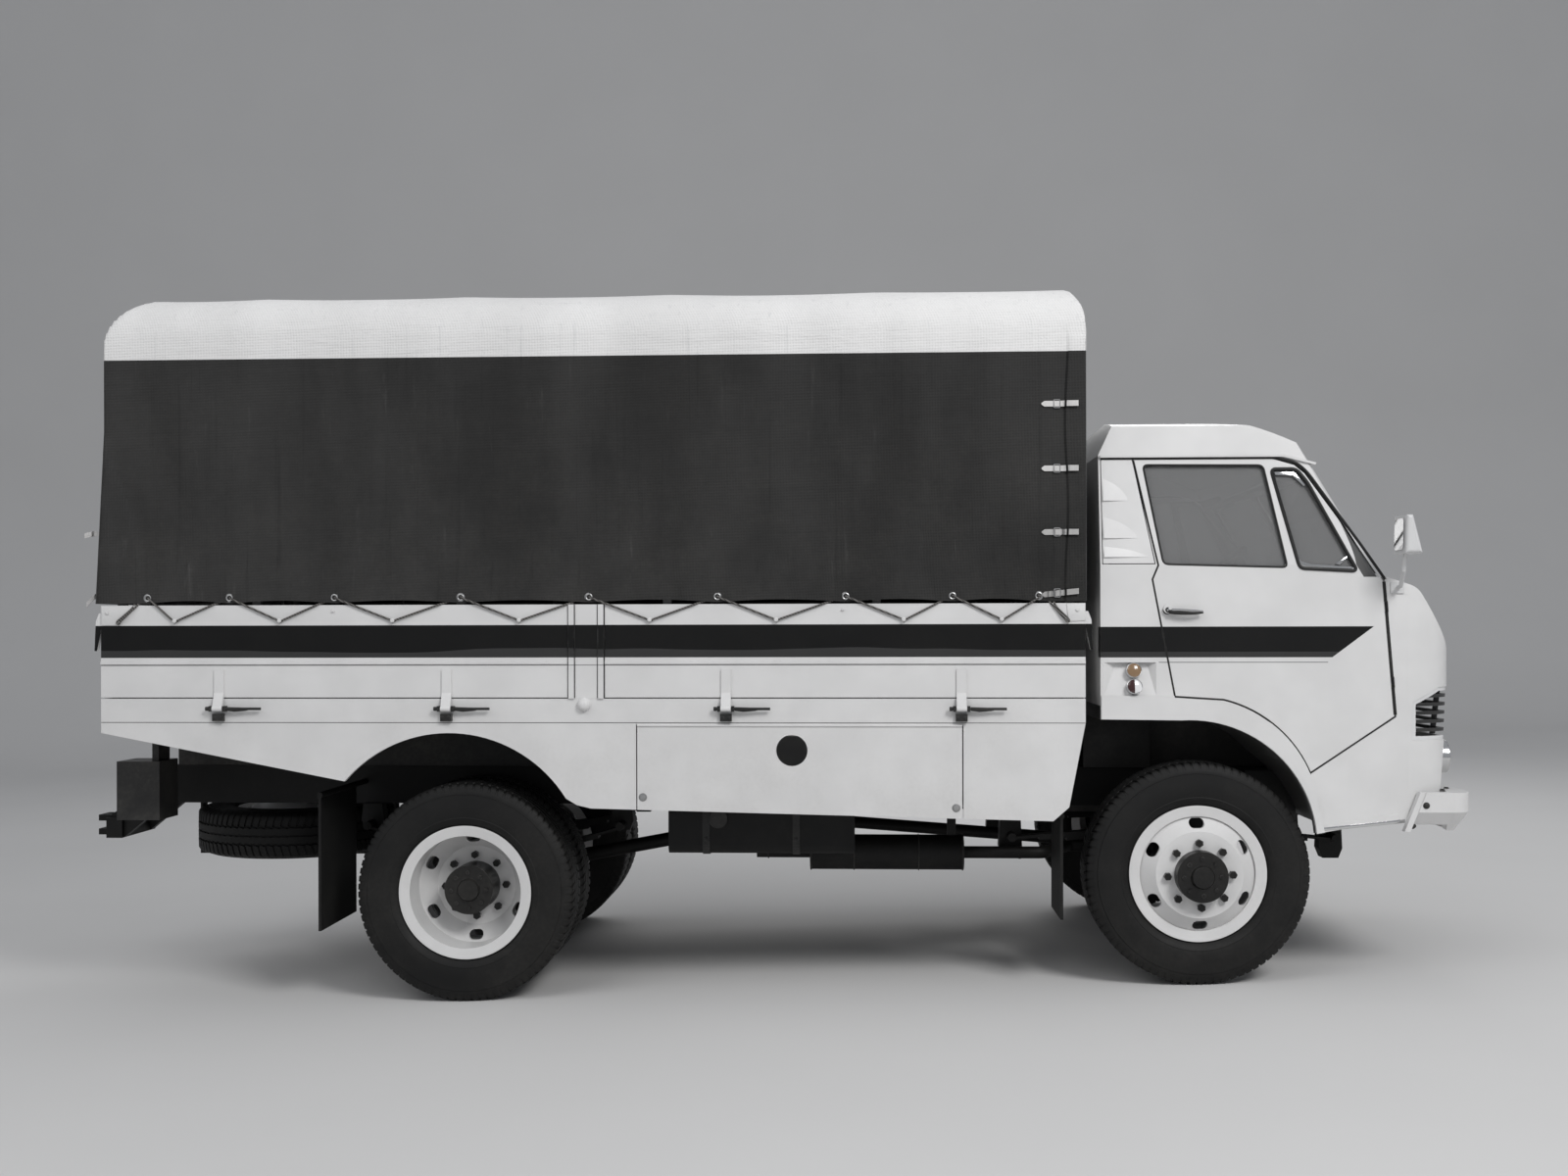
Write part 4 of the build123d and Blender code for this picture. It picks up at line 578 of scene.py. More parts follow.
put_out(weave_group, ends, Height=total(weave_group, thread, slub),
        Cloud=spread(weave_group, cloud, 0.25, 0.75),
        Scuff=product(weave_group, scuffs, start.outputs["Wear"]))

# %% [markdown]
# The cover is sewn from a white top and dark sides: the tone changes along one line of the cloth. The front
# flap laps over the side, and along its edge a painted shadow line sways a little. Water has run down the
# sides in pale streaks, and the lacing puckers the cloth, which is left to the bump.

# %% Canvas
TONE_LINE = 2.806
FLAP_EDGE = 2.605
SWAY = 0.006
SWAY_WAVES = 9.0
SWAY_START = 1.0
FLAP_SHADOW_HALF = 0.0045


def flap_edge_shadow(tree, along, height):
    """1 on the painted shadow line along the front flap's edge."""
    wave = maths(tree, "SINE", maths(tree, "MULTIPLY_ADD", height, SWAY_WAVES, SWAY_START))
    off = minus(tree, minus(tree, along, FLAP_EDGE), product(tree, wave, SWAY))
    return below(tree, size_of(tree, off), FLAP_SHADOW_HALF)


def canvas(name, upper, lower, threads=520.0, wear=0.5):
    """Woven cloth, with one tone above the line on the body and one below it."""
    material, tree, shader = finish(name, specular=0.2, Roughness=0.92, Sheen_Weight=0.15,
                                    Sheen_Roughness=0.6)
    along, across, height = body_place(tree)
    weave = use(tree, weave_group, Threads=threads, Wear=wear)
    above = beyond(tree, height, TONE_LINE)
    under = minus(tree, 1.0, above)
    water = cloudy(tree, drawn_out(tree, 42.0, 42.0, 0.7), 1.0, 5.0, Roughness=0.7)
    wet = product(tree, spread(tree, water, 0.56, 0.72), 0.55)
    tone = mixed(tree, wet, mixed(tree, above, lower, upper), mixed(tree, above, shade(0.008), shade(0.58)))
    # A painted shadow along the flap's edge, darker than the dark canvas below it.
    tone = mixed(tree, product(tree, flap_edge_shadow(tree, along, height), under), tone, shade(0.002))
    dark_cloud = product(tree, spread(tree, weave.outputs["Cloud"], 0, 1, 0.62, 1.25), under)
    pale_cloud = product(tree, spread(tree, weave.outputs["Cloud"], 0, 1, 0.93, 1.03), above)
    level = total(tree, dark_cloud, pale_cloud)
    clouded = node(tree, "HueSaturation", {"Color": tone, "Value": level}).outputs[0]
    scuffed = mixed(tree, product(tree, weave.outputs["Scuff"], 0.3), clouded, shade(0.2, 0.03))
    dusted = use(tree, dust_group, Colour=scuffed, Amount=0.05, Low=1.75, High=3.1)
    tree.links.new(dusted.outputs["Colour"], shader.inputs["Base Color"])
    pucker = cloudy(tree, drawn_out(tree, 3.0, 16.0, 16.0), 1.0, 4.0, Distortion=0.8)
    bumped(tree, shader, maths(tree, "MULTIPLY_ADD", pucker, 4.0, weave.outputs["Height"]), 0.0016, 0.8)
    return material


tilt_canvas = canvas("tilt_canvas", shade(0.72, 0.01), shade(0.021, 0.02))
strap_web = canvas("strap_web", shade(0.6), shade(0.55, 0.02), threads=1400.0, wear=0.2)

# %% [markdown]
# Tyre rubber is nearly black, dull, and dusty on the tread where it meets the road. Glass keeps a plain
# transmission so that the cab shows through, and a grey base colour that paints a milky reflection of the
# sky, with no texture inside it.

# %% Rubber and glass
def rubber(name, colour, roughness, dust, low=0.0, high=1.0):
    """Dull rubber with dust up to a height."""
    material, tree, shader = finish(name, specular=PAINT_SPECULAR)
    surface = use(tree, surface_group, Scale=420.0, Grain=0.5, Ripple=0.2)
    dust_over(tree, shader, colour, dust, low, high, roughness, 0.25)
    bumped(tree, shader, surface.outputs["Height"], 0.0005)
    return material


def glazed(name, painted_sky_grey, clear, roughness=0.02):
    """Glass with a film of dust: the clear share shows what is behind, and the rest is a grey that paints
    the sky's reflection.
    """
    material, tree, shader = finish(name, Transmission_Weight=clear, Roughness=roughness, IOR=1.45,
                                    Metallic=0.0)
    specks = use(tree, dust_group, Colour=painted_sky_grey, Amount=0.06, Low=1.5, High=2.6)
    tree.links.new(specks.outputs["Colour"], shader.inputs["Base Color"])
    return material


tyre_rubber = rubber("tyre_rubber", shade(0.006), 0.6, 0.07, 0.0, 1.2)
flap_rubber = rubber("flap_rubber", shade(0.006), 0.7, 0.06, 0.2, 1.2)
seal_rubber = rubber("seal_rubber", shade(0.014), 0.5, 0.1, 1.0, 2.6)
# The grey base paints a milky reflection of the sky on the glass.
window_glass = glazed("window_glass", shade(0.40), 0.64)

# %% [markdown]
# The bed's floor is wood between painted rails, and all of it is one node of the model. So its finish
# asks where a point is: on the floor it draws planks with dark joints, and elsewhere it is paint.

# %% Planks of the bed
PLANK_WIDTH = 0.14
JOINT_SHARE = 0.035
DECK_TOP = 1.3325
DECK_HALF_WIDTH = 1.108
RAIL_FACE_Y = 1.1515
RAIL_FOOT_Z = 1.31
DARK_WOOD = (0.11, 0.075, 0.045, 1)
PALE_WOOD = (0.27, 0.2, 0.13, 1)


def plank_colour(tree):
    """Boards laid lengthwise: dark joints, grain along X and a different tone for each plank."""
    along, across, height = body_place(tree)
    board = maths(tree, "DIVIDE", across, PLANK_WIDTH)
    number = maths(tree, "FLOOR", board)
    joint = below(tree, maths(tree, "FRACT", board), JOINT_SHARE)
    run = node(tree, "CombineXYZ", {"X": product(tree, along, 1.5), "Y": product(tree, across, 26.0),
                                    "Z": number})
    grain = spread(tree, cloudy(tree, run.outputs[0], 4.0, 6.0, Distortion=0.6), 0.3, 0.7)
    level = node(tree, "TexWhiteNoise", {"W": number}, noise_dimensions="1D").outputs[0]
    wood = node(tree, "HueSaturation", {"Color": mixed(tree, grain, DARK_WOOD, PALE_WOOD), "Value": level})
    boards = mixed(tree, joint, wood.outputs[0], shade(0.01))
    reach = size_of(tree, across)
    between_rails = below(tree, reach, DECK_HALF_WIDTH)
    on_floor = product(tree, beyond(tree, height, DECK_TOP), between_rails)
    under_floor = product(tree, between_rails, below(tree, height, DECK_TOP))
    bearer_ends = product(tree, beyond(tree, reach, RAIL_FACE_Y), below(tree, height, RAIL_FOOT_Z))
    steel = mixed(tree, largest(tree, bearer_ends, under_floor), PALE, shade(0.018))
    return mixed(tree, on_floor, steel, boards)


deck_paint = painted("deck_paint", plank_colour, WORN_PRIMER, 0.4, dust=0.3, edge=0.4)

# %% [markdown]
# What is left are small finishes: bright metal, lamp lenses, hemp rope and seat leather. Each is the
# same paint recipe with its own colour and gloss, which is enough at the size they have on the truck.

# %% Colours of rope, lenses and grille
LENS_SPLIT_Z = 1.412
SIDE_LAMP_X = 2.895
AMBER = (0.24, 0.15, 0.08, 1)
DARK_RED = (0.035, 0.008, 0.007, 1)
GRILLE_Z = (1.172, 1.361)
GRILLE_REAR_X = 4.077
GRILLE_SLOPE = 0.4846
GRILLE_DROP = -0.6695


def rope_colour(tree):
    """Hemp strands laid round each other: slanted light and dark bands."""
    laid = {"Vector": own_place(tree), "Scale": 38.0, "Distortion": 1.5, "Detail": 2.0}
    strands = node(tree, "TexWave", laid, bands_direction="DIAGONAL")
    return mixed(tree, strands.outputs["Fac"], shade(0.035, 0.05), shade(0.16, 0.05))


def lens_colour(tree):
    """Two side lamps: the upper is amber, and the lower is clear in front and dark red behind."""
    along, _, height = body_place(tree)
    lower = mixed(tree, beyond(tree, along, SIDE_LAMP_X), DARK_RED, shade(0.75))
    return mixed(tree, below(tree, height, LENS_SPLIT_Z), AMBER, lower)


def grille_colour(tree):
    """A bright frame round a dark grille, whose upper edge follows the nose."""
    along, _, height = body_place(tree)
    upper_edge = total(tree, product(tree, along, GRILLE_SLOPE), GRILLE_DROP)
    opening = product(tree, inside(tree, height, *GRILLE_Z), below(tree, height, upper_edge),
                      beyond(tree, along, GRILLE_REAR_X))
    return mixed(tree, opening, shade(0.66), shade(0.03))

# %% [markdown]
# Bright metal is a metallic paint with little wear, and a lens is a glossy coat over a colour. A mirror
# needs almost no roughness, or it turns grey.

# %% Small finishes
chrome = painted("chrome", shade(0.62), shade(0.45), 0.12, dust=0.12, edge=0.1, metallic=1.0, grain=600.0)
zinc = painted("zinc", shade(0.42), shade(0.3), 0.38, dust=0.25, edge=0.3, metallic=1.0, grain=500.0)
mirror_glass = painted("mirror_glass", shade(0.8), shade(0.7), 0.04, dust=0.03, edge=0.0, metallic=1.0,
                       depth=0.00005)
grille_paint = painted("grille_paint", grille_colour, shade(0.3), 0.3, dust=0.2, edge=0.2)
head_lens = painted("head_lens", shade(0.6), shade(0.6), 0.10, dust=0.08, low=0.8, edge=0.0, metallic=0.6,
                    coat=1.0, grain=90.0, depth=0.002)
side_lens = painted("side_lens", lens_colour, shade(0.4), 0.12, dust=0.05, edge=0.0, coat=1.0, grain=120.0)
red_lens = painted("red_lens", (0.28, 0.01, 0.008, 1), (0.4, 0.05, 0.04, 1), 0.15, dust=0.25, edge=0.0,
                   coat=1.0, grain=160.0, depth=0.002)
lacing_rope = painted("lacing_rope", rope_colour, shade(0.2, 0.05), 0.8, dust=0.1, edge=0.1, grain=500.0,
                      depth=0.002)
seat_leather = painted("seat_leather", shade(0.035, 0.03), shade(0.09, 0.05), 0.48, dust=0.1, low=1.2,
                       high=2.3, edge=0.3, grain=900.0)

# %% [markdown]
# Every node of the model gets its finish here, in one table, so that none is forgotten. Pieces that
# this script models more finely later hide their node.

# %% Finishes of the model's own pieces
CHASSIS = ("knuckle", "tie_rod", "front_axle", "rear_axle", "leaf_springs", "chassis_frame", "radiator",
           "driveline", "tanks", "exhaust", "spare_carrier", "tow_coupling")
FINISHES = (
    (("tyre", "spare_wheel"), tyre_rubber), (("rim",), wheel_paint), (CHASSIS, chassis_paint),
    (("engine",), cast_iron), (("tail_lamps",), lamp_paint), (("mudflaps",), flap_rubber),
    (("bumper", "cab_shell", "door_right", "door_left"), cab_paint),
    (("windscreen", "door_glass"), window_glass), (("grille",), grille_paint), (("front_lamps",), chrome),
    (("cab_interior", "steering_wheel"), trim_plastic),
    (("seats",), seat_leather), (("mirrors",), mirror_paint), (("bed_deck",), deck_paint),
    (("bed_uprights", "board_", "tailgate"), board_paint), (("side_skirts", "locker_flap"), bed_paint),
    (("canvas_bows",), hoop_paint), (("canvas_cover",), tilt_canvas))
for name, obj in nodes.items():
    obj.data.materials.clear()
    obj.data.materials.append(next(material for starts, material in FINISHES if name.startswith(starts)))
print("finished nodes", len(nodes))

# %% [markdown]
# The rest is drawn in mesh code. Each drawing becomes an object in one way: it is moved from the axes
# it was drawn in to its place, gets its finish, and rides on a body, so no step can be forgotten.


def piece(name, mesh, material, body="root", place=BODY, hides=(), sharp=35):
    """An object from a mesh that was drawn in a place's axes, finished and riding on a body."""
    bmesh.ops.remove_doubles(mesh, verts=mesh.verts, dist=1e-6)
    mesh.transform(place)
    bmesh.ops.recalc_face_normals(mesh, faces=mesh.faces)
    data = bpy.data.meshes.new(name)
    mesh.to_mesh(data)
    mesh.free()
    data.shade_smooth()
    data.set_sharp_from_angle(angle=radians(sharp))
    made = bpy.data.objects.new(name, data)
    bpy.context.scene.collection.objects.link(made)
    data.materials.append(material)
    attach(made, body)
    if hides:
        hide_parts(*hides)
    print(name, len(data.polygons), "faces on", body)
    return made


def sided(points, s):
    """Points of the left side, or their mirror image on the right."""
    return [(x, s * y, z) for x, y, z in points]


# %% [markdown]
# A few small builders cover almost every fitting on a truck: turned pieces, tubes that follow a path,
# plates with softened edges, and bolts. Each adds to a mesh that is still open, so a row of forty
# hooks becomes one piece. Turned pieces come first.

# %% Turned pieces
def lathe(mesh, outline, centre, axis, steps=32, closed=False):
    """An outline of (radius, height) pairs turned about an axis through the centre."""
    axis = Vector(axis).normalized()
    side = axis.orthogonal().normalized()
    other = axis.cross(side)
    rings = []
    for turn in (2 * pi * i / steps for i in range(steps)):
        out = side * cos(turn) + other * sin(turn)
        rings.append([mesh.verts.new(Vector(centre) + out * r + axis * h) for r, h in outline])
    for first, second in zip(rings, rings[1:] + rings[:1]):
        for j in range(len(outline) - (0 if closed else 1)):
            k = (j + 1) % len(outline)
            mesh.faces.new((first[j], first[k], second[k], second[j]))


def ring_at(mesh, centre, axis, radius, wire):
    """A wire ring round an axis."""
    outline = [(radius + wire * cos(turn), wire * sin(turn)) for turn in (2 * pi * i / 8 for i in range(8))]
    lathe(mesh, outline, centre, axis, 20, closed=True)


def dome(radius, foot, rise, steps):
    """The outline of a lens: flat at its middle and falling to its rim."""
    return [(radius * i / steps, foot + rise * (1 - (i / steps) ** 2)) for i in range(steps + 1)]


def bolt(mesh, centre, axis, radius, height):
    """A hexagon head on its washer."""
    washer = ((0, 0), (radius * 1.4, 0), (radius * 1.4, height * 0.2), (radius * 0.9, height * 0.25))
    head = ((radius, height * 0.2), (radius, height * 0.85), (radius * 0.8, height), (0, height))
    lathe(mesh, washer, centre, axis, 16)
    lathe(mesh, head, centre, axis, 6)


# %% [markdown]
# A tube is a ring of points carried along a path. Its first direction is kept as well as the path
# allows, so it doesn't twist, and sharp corners are turned into short curves before.

# %% Tubes along a path
def tube(mesh, points, radius, sides=10, closed=False):
    """A round bar that follows a path; the radius may change with the share of the way along."""
    points = [Vector(point) for point in points]
    rings = []
    up = None
    for i, point in enumerate(points):
        before = points[i - 1] if i or closed else point
        after = points[(i + 1) % len(points)] if i < len(points) - 1 or closed else point
        along = (after - before).normalized()
        up = up or along.orthogonal()
        up = (up - along * up.dot(along)).normalized()
        other = along.cross(up)
        reach = radius(i / (len(points) - 1)) if callable(radius) else radius
        rings.append([mesh.verts.new(point + (up * cos(turn) + other * sin(turn)) * reach)
                      for turn in (2 * pi * k / sides for k in range(sides))])
    for first, second in list(zip(rings, rings[1:])) + ([(rings[-1], rings[0])] if closed else []):
        for k in range(sides):
            mesh.faces.new((first[k], first[(k + 1) % sides], second[(k + 1) % sides], second[k]))
    if not closed:
        mesh.faces.new(rings[0][::-1])
        mesh.faces.new(rings[-1])


def rounded(points, radius, steps=5, closed=False):
    """A path with each of its corners turned into a short curve."""
    points = [Vector(point) for point in points]
    path = []
    for i, here in enumerate(points):
        if not closed and i in (0, len(points) - 1):
            path.append(here)
            continue
        ends = []
        for near in (points[i - 1], points[(i + 1) % len(points)]):
            ends.append(here + (near - here).normalized() * min(radius, (near - here).length * 0.45))
        path += [ends[0] * (1 - t) ** 2 + here * 2 * t * (1 - t) + ends[1] * t * t
                 for t in (k / steps for k in range(steps + 1))]
    return path


def taper(foot, loss):
    """A tube's radius that shrinks by a loss from its foot to its tip."""
    return lambda share: foot - loss * share


# %% [markdown]
# Plates are outlines pushed along a vector. Real sheet has no knife edges, so the bevel is part of the
# builder. A cloth is the other way round: one open sheet that gets its thickness at the end.

# %% Plates and sheets
def slab(mesh, points, depth, bevel=0.0):
    """An outline in space pushed along a vector, with its edges softened."""
    near = [mesh.verts.new(point) for point in points]
    far = [mesh.verts.new(Vector(point) + Vector(depth)) for point in points]
    faces = [mesh.faces.new(near), mesh.faces.new(far[::-1])]
    for i in range(len(points)):
        j = (i + 1) % len(points)
        faces.append(mesh.faces.new((near[i], far[i], far[j], near[j])))
    if bevel:
        edges = list(dict.fromkeys(edge for face in faces for edge in face.edges))
        bmesh.ops.bevel(mesh, geom=edges, offset=bevel, segments=2, affect="EDGES", profile=0.5)


def brick(mesh, low, high, bevel=0.002):
    """A block between two corners with softened edges."""
    (x0, y0, z0), (x1, y1, z1) = low, high
    slab(mesh, ((x0, y0, z0), (x1, y0, z0), (x1, y1, z0), (x0, y1, z0)), (0, 0, z1 - z0), bevel)


def thicken(mesh, depth):
    """A closed shell from an open sheet: a second skin behind it, joined along the free edges."""
    mesh.normal_update()
    faces = list(mesh.faces)
    rim = [edge for edge in mesh.edges if edge.is_boundary]
    inner = {vert: mesh.verts.new(vert.co - vert.normal * depth) for vert in list(mesh.verts)}
    for face in faces:
        mesh.faces.new([inner[vert] for vert in reversed(face.verts)])
    for edge in rim:
        first, second = edge.verts
        mesh.faces.new((first, second, inner[second], inner[first]))


def arc(first, middle, last, steps):
    """Points on the circle through three points in a plane, without the last."""
    (ax, ay), (bx, by), (cx, cy) = first, middle, last
    double_area = 2 * (ax * (by - cy) + bx * (cy - ay) + cx * (ay - by))
    a2, b2, c2 = ax * ax + ay * ay, bx * bx + by * by, cx * cx + cy * cy
    ox = (a2 * (by - cy) + b2 * (cy - ay) + c2 * (ay - by)) / double_area
    oy = (a2 * (cx - bx) + b2 * (ax - cx) + c2 * (bx - ax)) / double_area
    start, end = atan2(ay - oy, ax - ox), atan2(cy - oy, cx - ox)
    sweep = (end - start + pi) % (2 * pi) - pi
    radius = hypot(ax - ox, ay - oy)
    return [(ox + radius * cos(start + sweep * i / steps), oy + radius * sin(start + sweep * i / steps))
            for i in range(steps)]


# %% [markdown]
# A lorry tyre shows three ribs, zigzag grooves between them, and slots that run out over the shoulder.
# The tread is cut into the mesh itself, one pitch repeated round the tyre, because bump alone would
# leave the outline of the tyre perfectly round.

# %% Tyre tread
PITCHES = 84
PITCH_KNOTS = (0.0, 0.06, 0.10, 0.34, 0.38, 0.70)
# Distance from the middle, radius, zigzag, groove depth, share of the shoulder slot's depth
TREAD = ((0.0035, 0.4775, 0.5, 0.009, 0), (0.0050, 0.4775, 0.5, 0, 0), (0.0365, 0.4775, 1, 0, 0),
         (0.0380, 0.4775, 1, 0.011, 0), (0.0455, 0.4775, 1, 0.011, 0), (0.0470, 0.4775, 1, 0, 0),
         (0.0500, 0.4773, 0, 0, 1), (0.0700, 0.4768, 0, 0, 1), (0.0880, 0.4760, 0, 0, 1),
         (0.0955, 0.4715, 0, 0, 0.9), (0.1015, 0.4608, 0, 0, 0.6), (0.1070, 0.4468, 0, 0, 0.25))
# Distance from the middle and radius, from the shoulder over the side wall to the bead
WALL = ((0.1100, 0.4395), (0.1112, 0.4300), (0.1144, 0.4280), (0.1162, 0.4050), (0.1178, 0.3860),
        (0.1180, 0.3660), (0.1165, 0.3420), (0.1140, 0.3300), (0.1150, 0.3270), (0.1110, 0.3160),
        (0.1040, 0.3060), (0.0970, 0.2985), (0.0850, 0.2960), (0.0850, 0.2546))
ZIGZAG = 0.0035
SLOT_KNOTS = (0.08, 0.36)
SLOT_DEPTH = 0.006
SLOT_SKEW = 0.35
SLOT_FROM = 0.047
SLOT_RUN = 0.045


def add_tyre(mesh, place):
    """A tyre about the Y axis of a place."""
    half = list(TREAD) + [(y, radius, 0, 0, 0) for y, radius in WALL]
    section = [(-y, *rest) for y, *rest in half[::-1]] + half
    rings = []
    for pitch in range(PITCHES):
        for knot in PITCH_KNOTS:
            swing = ZIGZAG * (1 - 4 * abs(knot - 0.5))
            in_slot = SLOT_KNOTS[0] < knot < SLOT_KNOTS[1]
            ring = []
            for y, radius, zigzag, groove, slot in section:
                skew = SLOT_SKEW * (abs(y) - SLOT_FROM) / SLOT_RUN if slot else 0
                turn = 2 * pi * (pitch + knot + skew) / PITCHES
                out = radius - groove - (SLOT_DEPTH * slot if in_slot else 0)
                corner = Vector((out * sin(turn), y + zigzag * swing, out * cos(turn)))
                ring.append(mesh.verts.new(place @ corner))
            rings.append(ring)
    for first, second in zip(rings, rings[1:] + rings[:1]):
        for j in range(len(section)):
            k = (j + 1) % len(section)
            mesh.faces.new((first[j], first[k], second[k], second[j]))


# %% [markdown]
# The same tyre stands on the road five times: one at each front wheel, twins at each rear wheel, and
# the spare lying under the rear end, whose rim shows from below.

# %% Tyres on their wheels
FRONT_TYRE_Y = 0.950
TWIN_Y = (0.950, 0.680)
TYRE_SHARP = 30
SPARE = Matrix.Translation((-1.105, 0, 0.648))
RIM_SECTION = (
    (0.292, 0.1), (0.292, 0.092), (0.254, 0.085), (0.254, -0.085), (0.292, -0.092), (0.292, -0.1),
    (0.286, -0.1), (0.247, -0.092), (0.246, 0.07), (0.248, 0.077), (0.185, 0.135), (0.111, 0.135),
    (0.111, 0.123), (0.180, 0.123), (0.238, 0.066), (0.246, 0.09), (0.286, 0.1))
for s, hand in SIDES:
    for name, wheel, x, offsets in (("front_tyre", "front", WHEELBASE, (FRONT_TYRE_Y,)),
                                    ("twin_tyres", "rear", 0, TWIN_Y)):
        tyres = bmesh.new()
        for y in offsets:
            add_tyre(tyres, Matrix.Translation((x, s * y, TYRE_RADIUS)))
        piece(f"{name}_{hand}", tyres, tyre_rubber, f"wheel_{wheel}_{hand}", ROAD,
              (f"tyre_{wheel}_{hand}",), TYRE_SHARP)

spare_tyre = bmesh.new()
add_tyre(spare_tyre, SPARE @ Matrix.Rotation(pi / 2, 4, "X"))
piece("spare_tyre", spare_tyre, tyre_rubber, hides=("spare_wheel",), sharp=TYRE_SHARP)
spare_rim = bmesh.new()
lathe(spare_rim, RIM_SECTION, SPARE.translation, (0, 0, 1), 72, closed=True)
piece("spare_rim", spare_rim, wheel_paint)

# %% [markdown]
# The tilt is one canvas cover, tight over the hoops on top and laced down along the boards. It is
# drawn as a grid over the sides, the roof and both ends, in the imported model's outline. The grid's
# rows follow the hoop's section, and its columns stand closer where the ends turn and at the flap.

# %% Grid of the tilt
TILT_REAR = -1.555
TILT_FRONT = 2.684
SIDE_FACE = 1.150
HEM = 1.746
SIDE_TOP = 2.870
BEND = (1.098, 3.030)
SHOULDER = (0.955, 3.098)
CROWN_Z = 3.180
CLOTH = 0.005
SIDE_STEPS = 30
LENGTH_STEPS = 100
FLAP_STEPS = (-0.024, -0.016, -0.010, -0.005, -0.001, 0.003)
NARROWEST = 0.0012

quarter = [(SIDE_FACE, HEM + (SIDE_TOP - HEM) * i / SIDE_STEPS) for i in range(SIDE_STEPS)]
quarter += arc((SIDE_FACE, SIDE_TOP), BEND, SHOULDER, 12)
roof = arc(SHOULDER, (0, CROWN_Z), (-SHOULDER[0], SHOULDER[1]), 30)
far_side = [(-y, z) for y, z in [SHOULDER] + quarter[::-1]]
section = quarter + roof + far_side

# Distance from the end and height, along the curve from an end's face up to the roof
rear_arc = arc((0, 2.890), (0.062, 3.018), (0.190, 3.098), 9) + [(0.190, 3.098), (0.400, 3.190)]
front_arc = arc((0, 2.900), (0.017, 3.018), (0.070, 3.098), 8) + [(0.070, 3.098), (0.300, 3.190)]
rear_x = [TILT_REAR + x for x, z in rear_arc[:-1]]
front_x = [TILT_FRONT - x for x, z in front_arc[-2::-1]]
even_x = [rear_x[-1] + (front_x[0] - rear_x[-1]) * i / LENGTH_STEPS for i in range(1, LENGTH_STEPS)]
flap_x = [FLAP_EDGE + step for step in FLAP_STEPS]
columns = []
for x in sorted(rear_x + even_x + flap_x + front_x):
    if not columns or x - columns[-1] > NARROWEST:
        columns.append(x)
print("tilt grid", len(columns), "by", len(section))

# %% [markdown]
# Then each point moves a little: in between the hoops, out between the eyelets, and along the pulled folds
# at the rear corners. Cloth simulation would need the hoops and ropes as colliders and would still move the
# outline, so the moves are given as a few waves and ridges.

# %% Hoops, eyelets and pulled folds
HOOPS = (-1.5, -0.9, 0.0, 0.9, 1.8, 2.62)
EYELETS = (-1.366, -1.005, -0.543, 0.010, 0.567, 1.120, 1.669, 2.123, 2.487)
# Foot and head of each pulled fold, its half width and its height
PULLS = (((-1.37, 1.79), (-1.55, 2.46), 0.030, 0.022), ((-1.46, 1.76), (-1.555, 2.20), 0.022, 0.018),
         ((-1.40, 1.76), (-1.57, 1.98), 0.018, 0.012), ((-0.55, 1.80), (-0.10, 2.25), 0.07, 0.008),
         ((-0.55, 1.80), (-0.75, 2.02), 0.05, 0.006), ((0.03, 1.80), (-0.32, 2.10), 0.06, 0.008),
         ((0.55, 1.80), (0.95, 2.20), 0.07, 0.007), ((1.12, 1.80), (0.80, 2.12), 0.06, 0.007),
         ((2.44, 1.80), (2.58, 2.12), 0.05, 0.008), ((1.68, 1.80), (2.05, 2.20), 0.07, 0.007),
         ((2.12, 1.80), (1.90, 2.05), 0.05, 0.006))
SIDE_HEIGHT = 1.12
HOLLOW = 0.010
SCALLOP = 0.014
SEAM_STEP = 0.003
FLAP_LAP = 0.007
print("hoops", len(HOOPS), "eyelets a side", len(EYELETS), "folds", len(PULLS))

# %% [markdown]
# A move is a sum of small shapes: a hollow between two hoops, a scallop between two eyelets, a ridge
# along each fold, and noise drawn out upwards. Most of them fade where the cloth is held.

# %% Moves of the cloth
def between(x, marks):
    """0 at each mark and 1 halfway between two of them."""
    for low, high in zip(marks, marks[1:]):
        if low <= x <= high:
            return sin(pi * (x - low) / (high - low))
    return 0.0


def ridge(x, z, foot, head, width):
    """1 on the bowed line between two points of the side and 0 beyond its width."""
    run_x, run_z = head[0] - foot[0], head[1] - foot[1]
    length = hypot(run_x, run_z)
    share = ((x - foot[0]) * run_x + (z - foot[1]) * run_z) / length ** 2
    if not 0 < share < 1:
        return 0.0
    bow = 0.05 * sin(pi * share)
    off = ((x - foot[0]) * run_z - (z - foot[1]) * run_x) / length - bow
    return max(0.0, 1 - (off / width) ** 2) ** 2 * sin(pi * share) ** 0.5


def cloth_move(x, z, hand):
    """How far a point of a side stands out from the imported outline."""
    height = min(max((z - HEM) / SIDE_HEIGHT, 0), 1)
    move = -HOLLOW * between(x, HOOPS) * sin(pi * min(height * 1.05, 1))
    move += SCALLOP * between(x, EYELETS) * max(0, 1 - height * 5)
    move += 0.0035 * noise.noise(Vector((x * 7 + hand * 9, z * 0.9, 0.3))) * (1 - height ** 3)
    move += 0.0015 * noise.noise(Vector((x * 31, z * 2.2, hand))) * (1 - height)
    move += sum(size * ridge(x, z, foot, head, width) for foot, head, width, size in PULLS)
    if z > TONE_LINE:
        move += SEAM_STEP
    if x > FLAP_EDGE + SWAY * sin(z * SWAY_WAVES + SWAY_START):
        move += FLAP_LAP
    return move


def cloth_face(x, z, s):
    """Distance of the tilt's outer face from the middle at a side."""
    return SIDE_FACE + cloth_move(x, z, s)


# %% [markdown]
# The sides, the roof and the end curtains each use those moves in their own way. The rear end flares
# backwards near its hem, where the folds pull it, and the roof sags between the hoops.

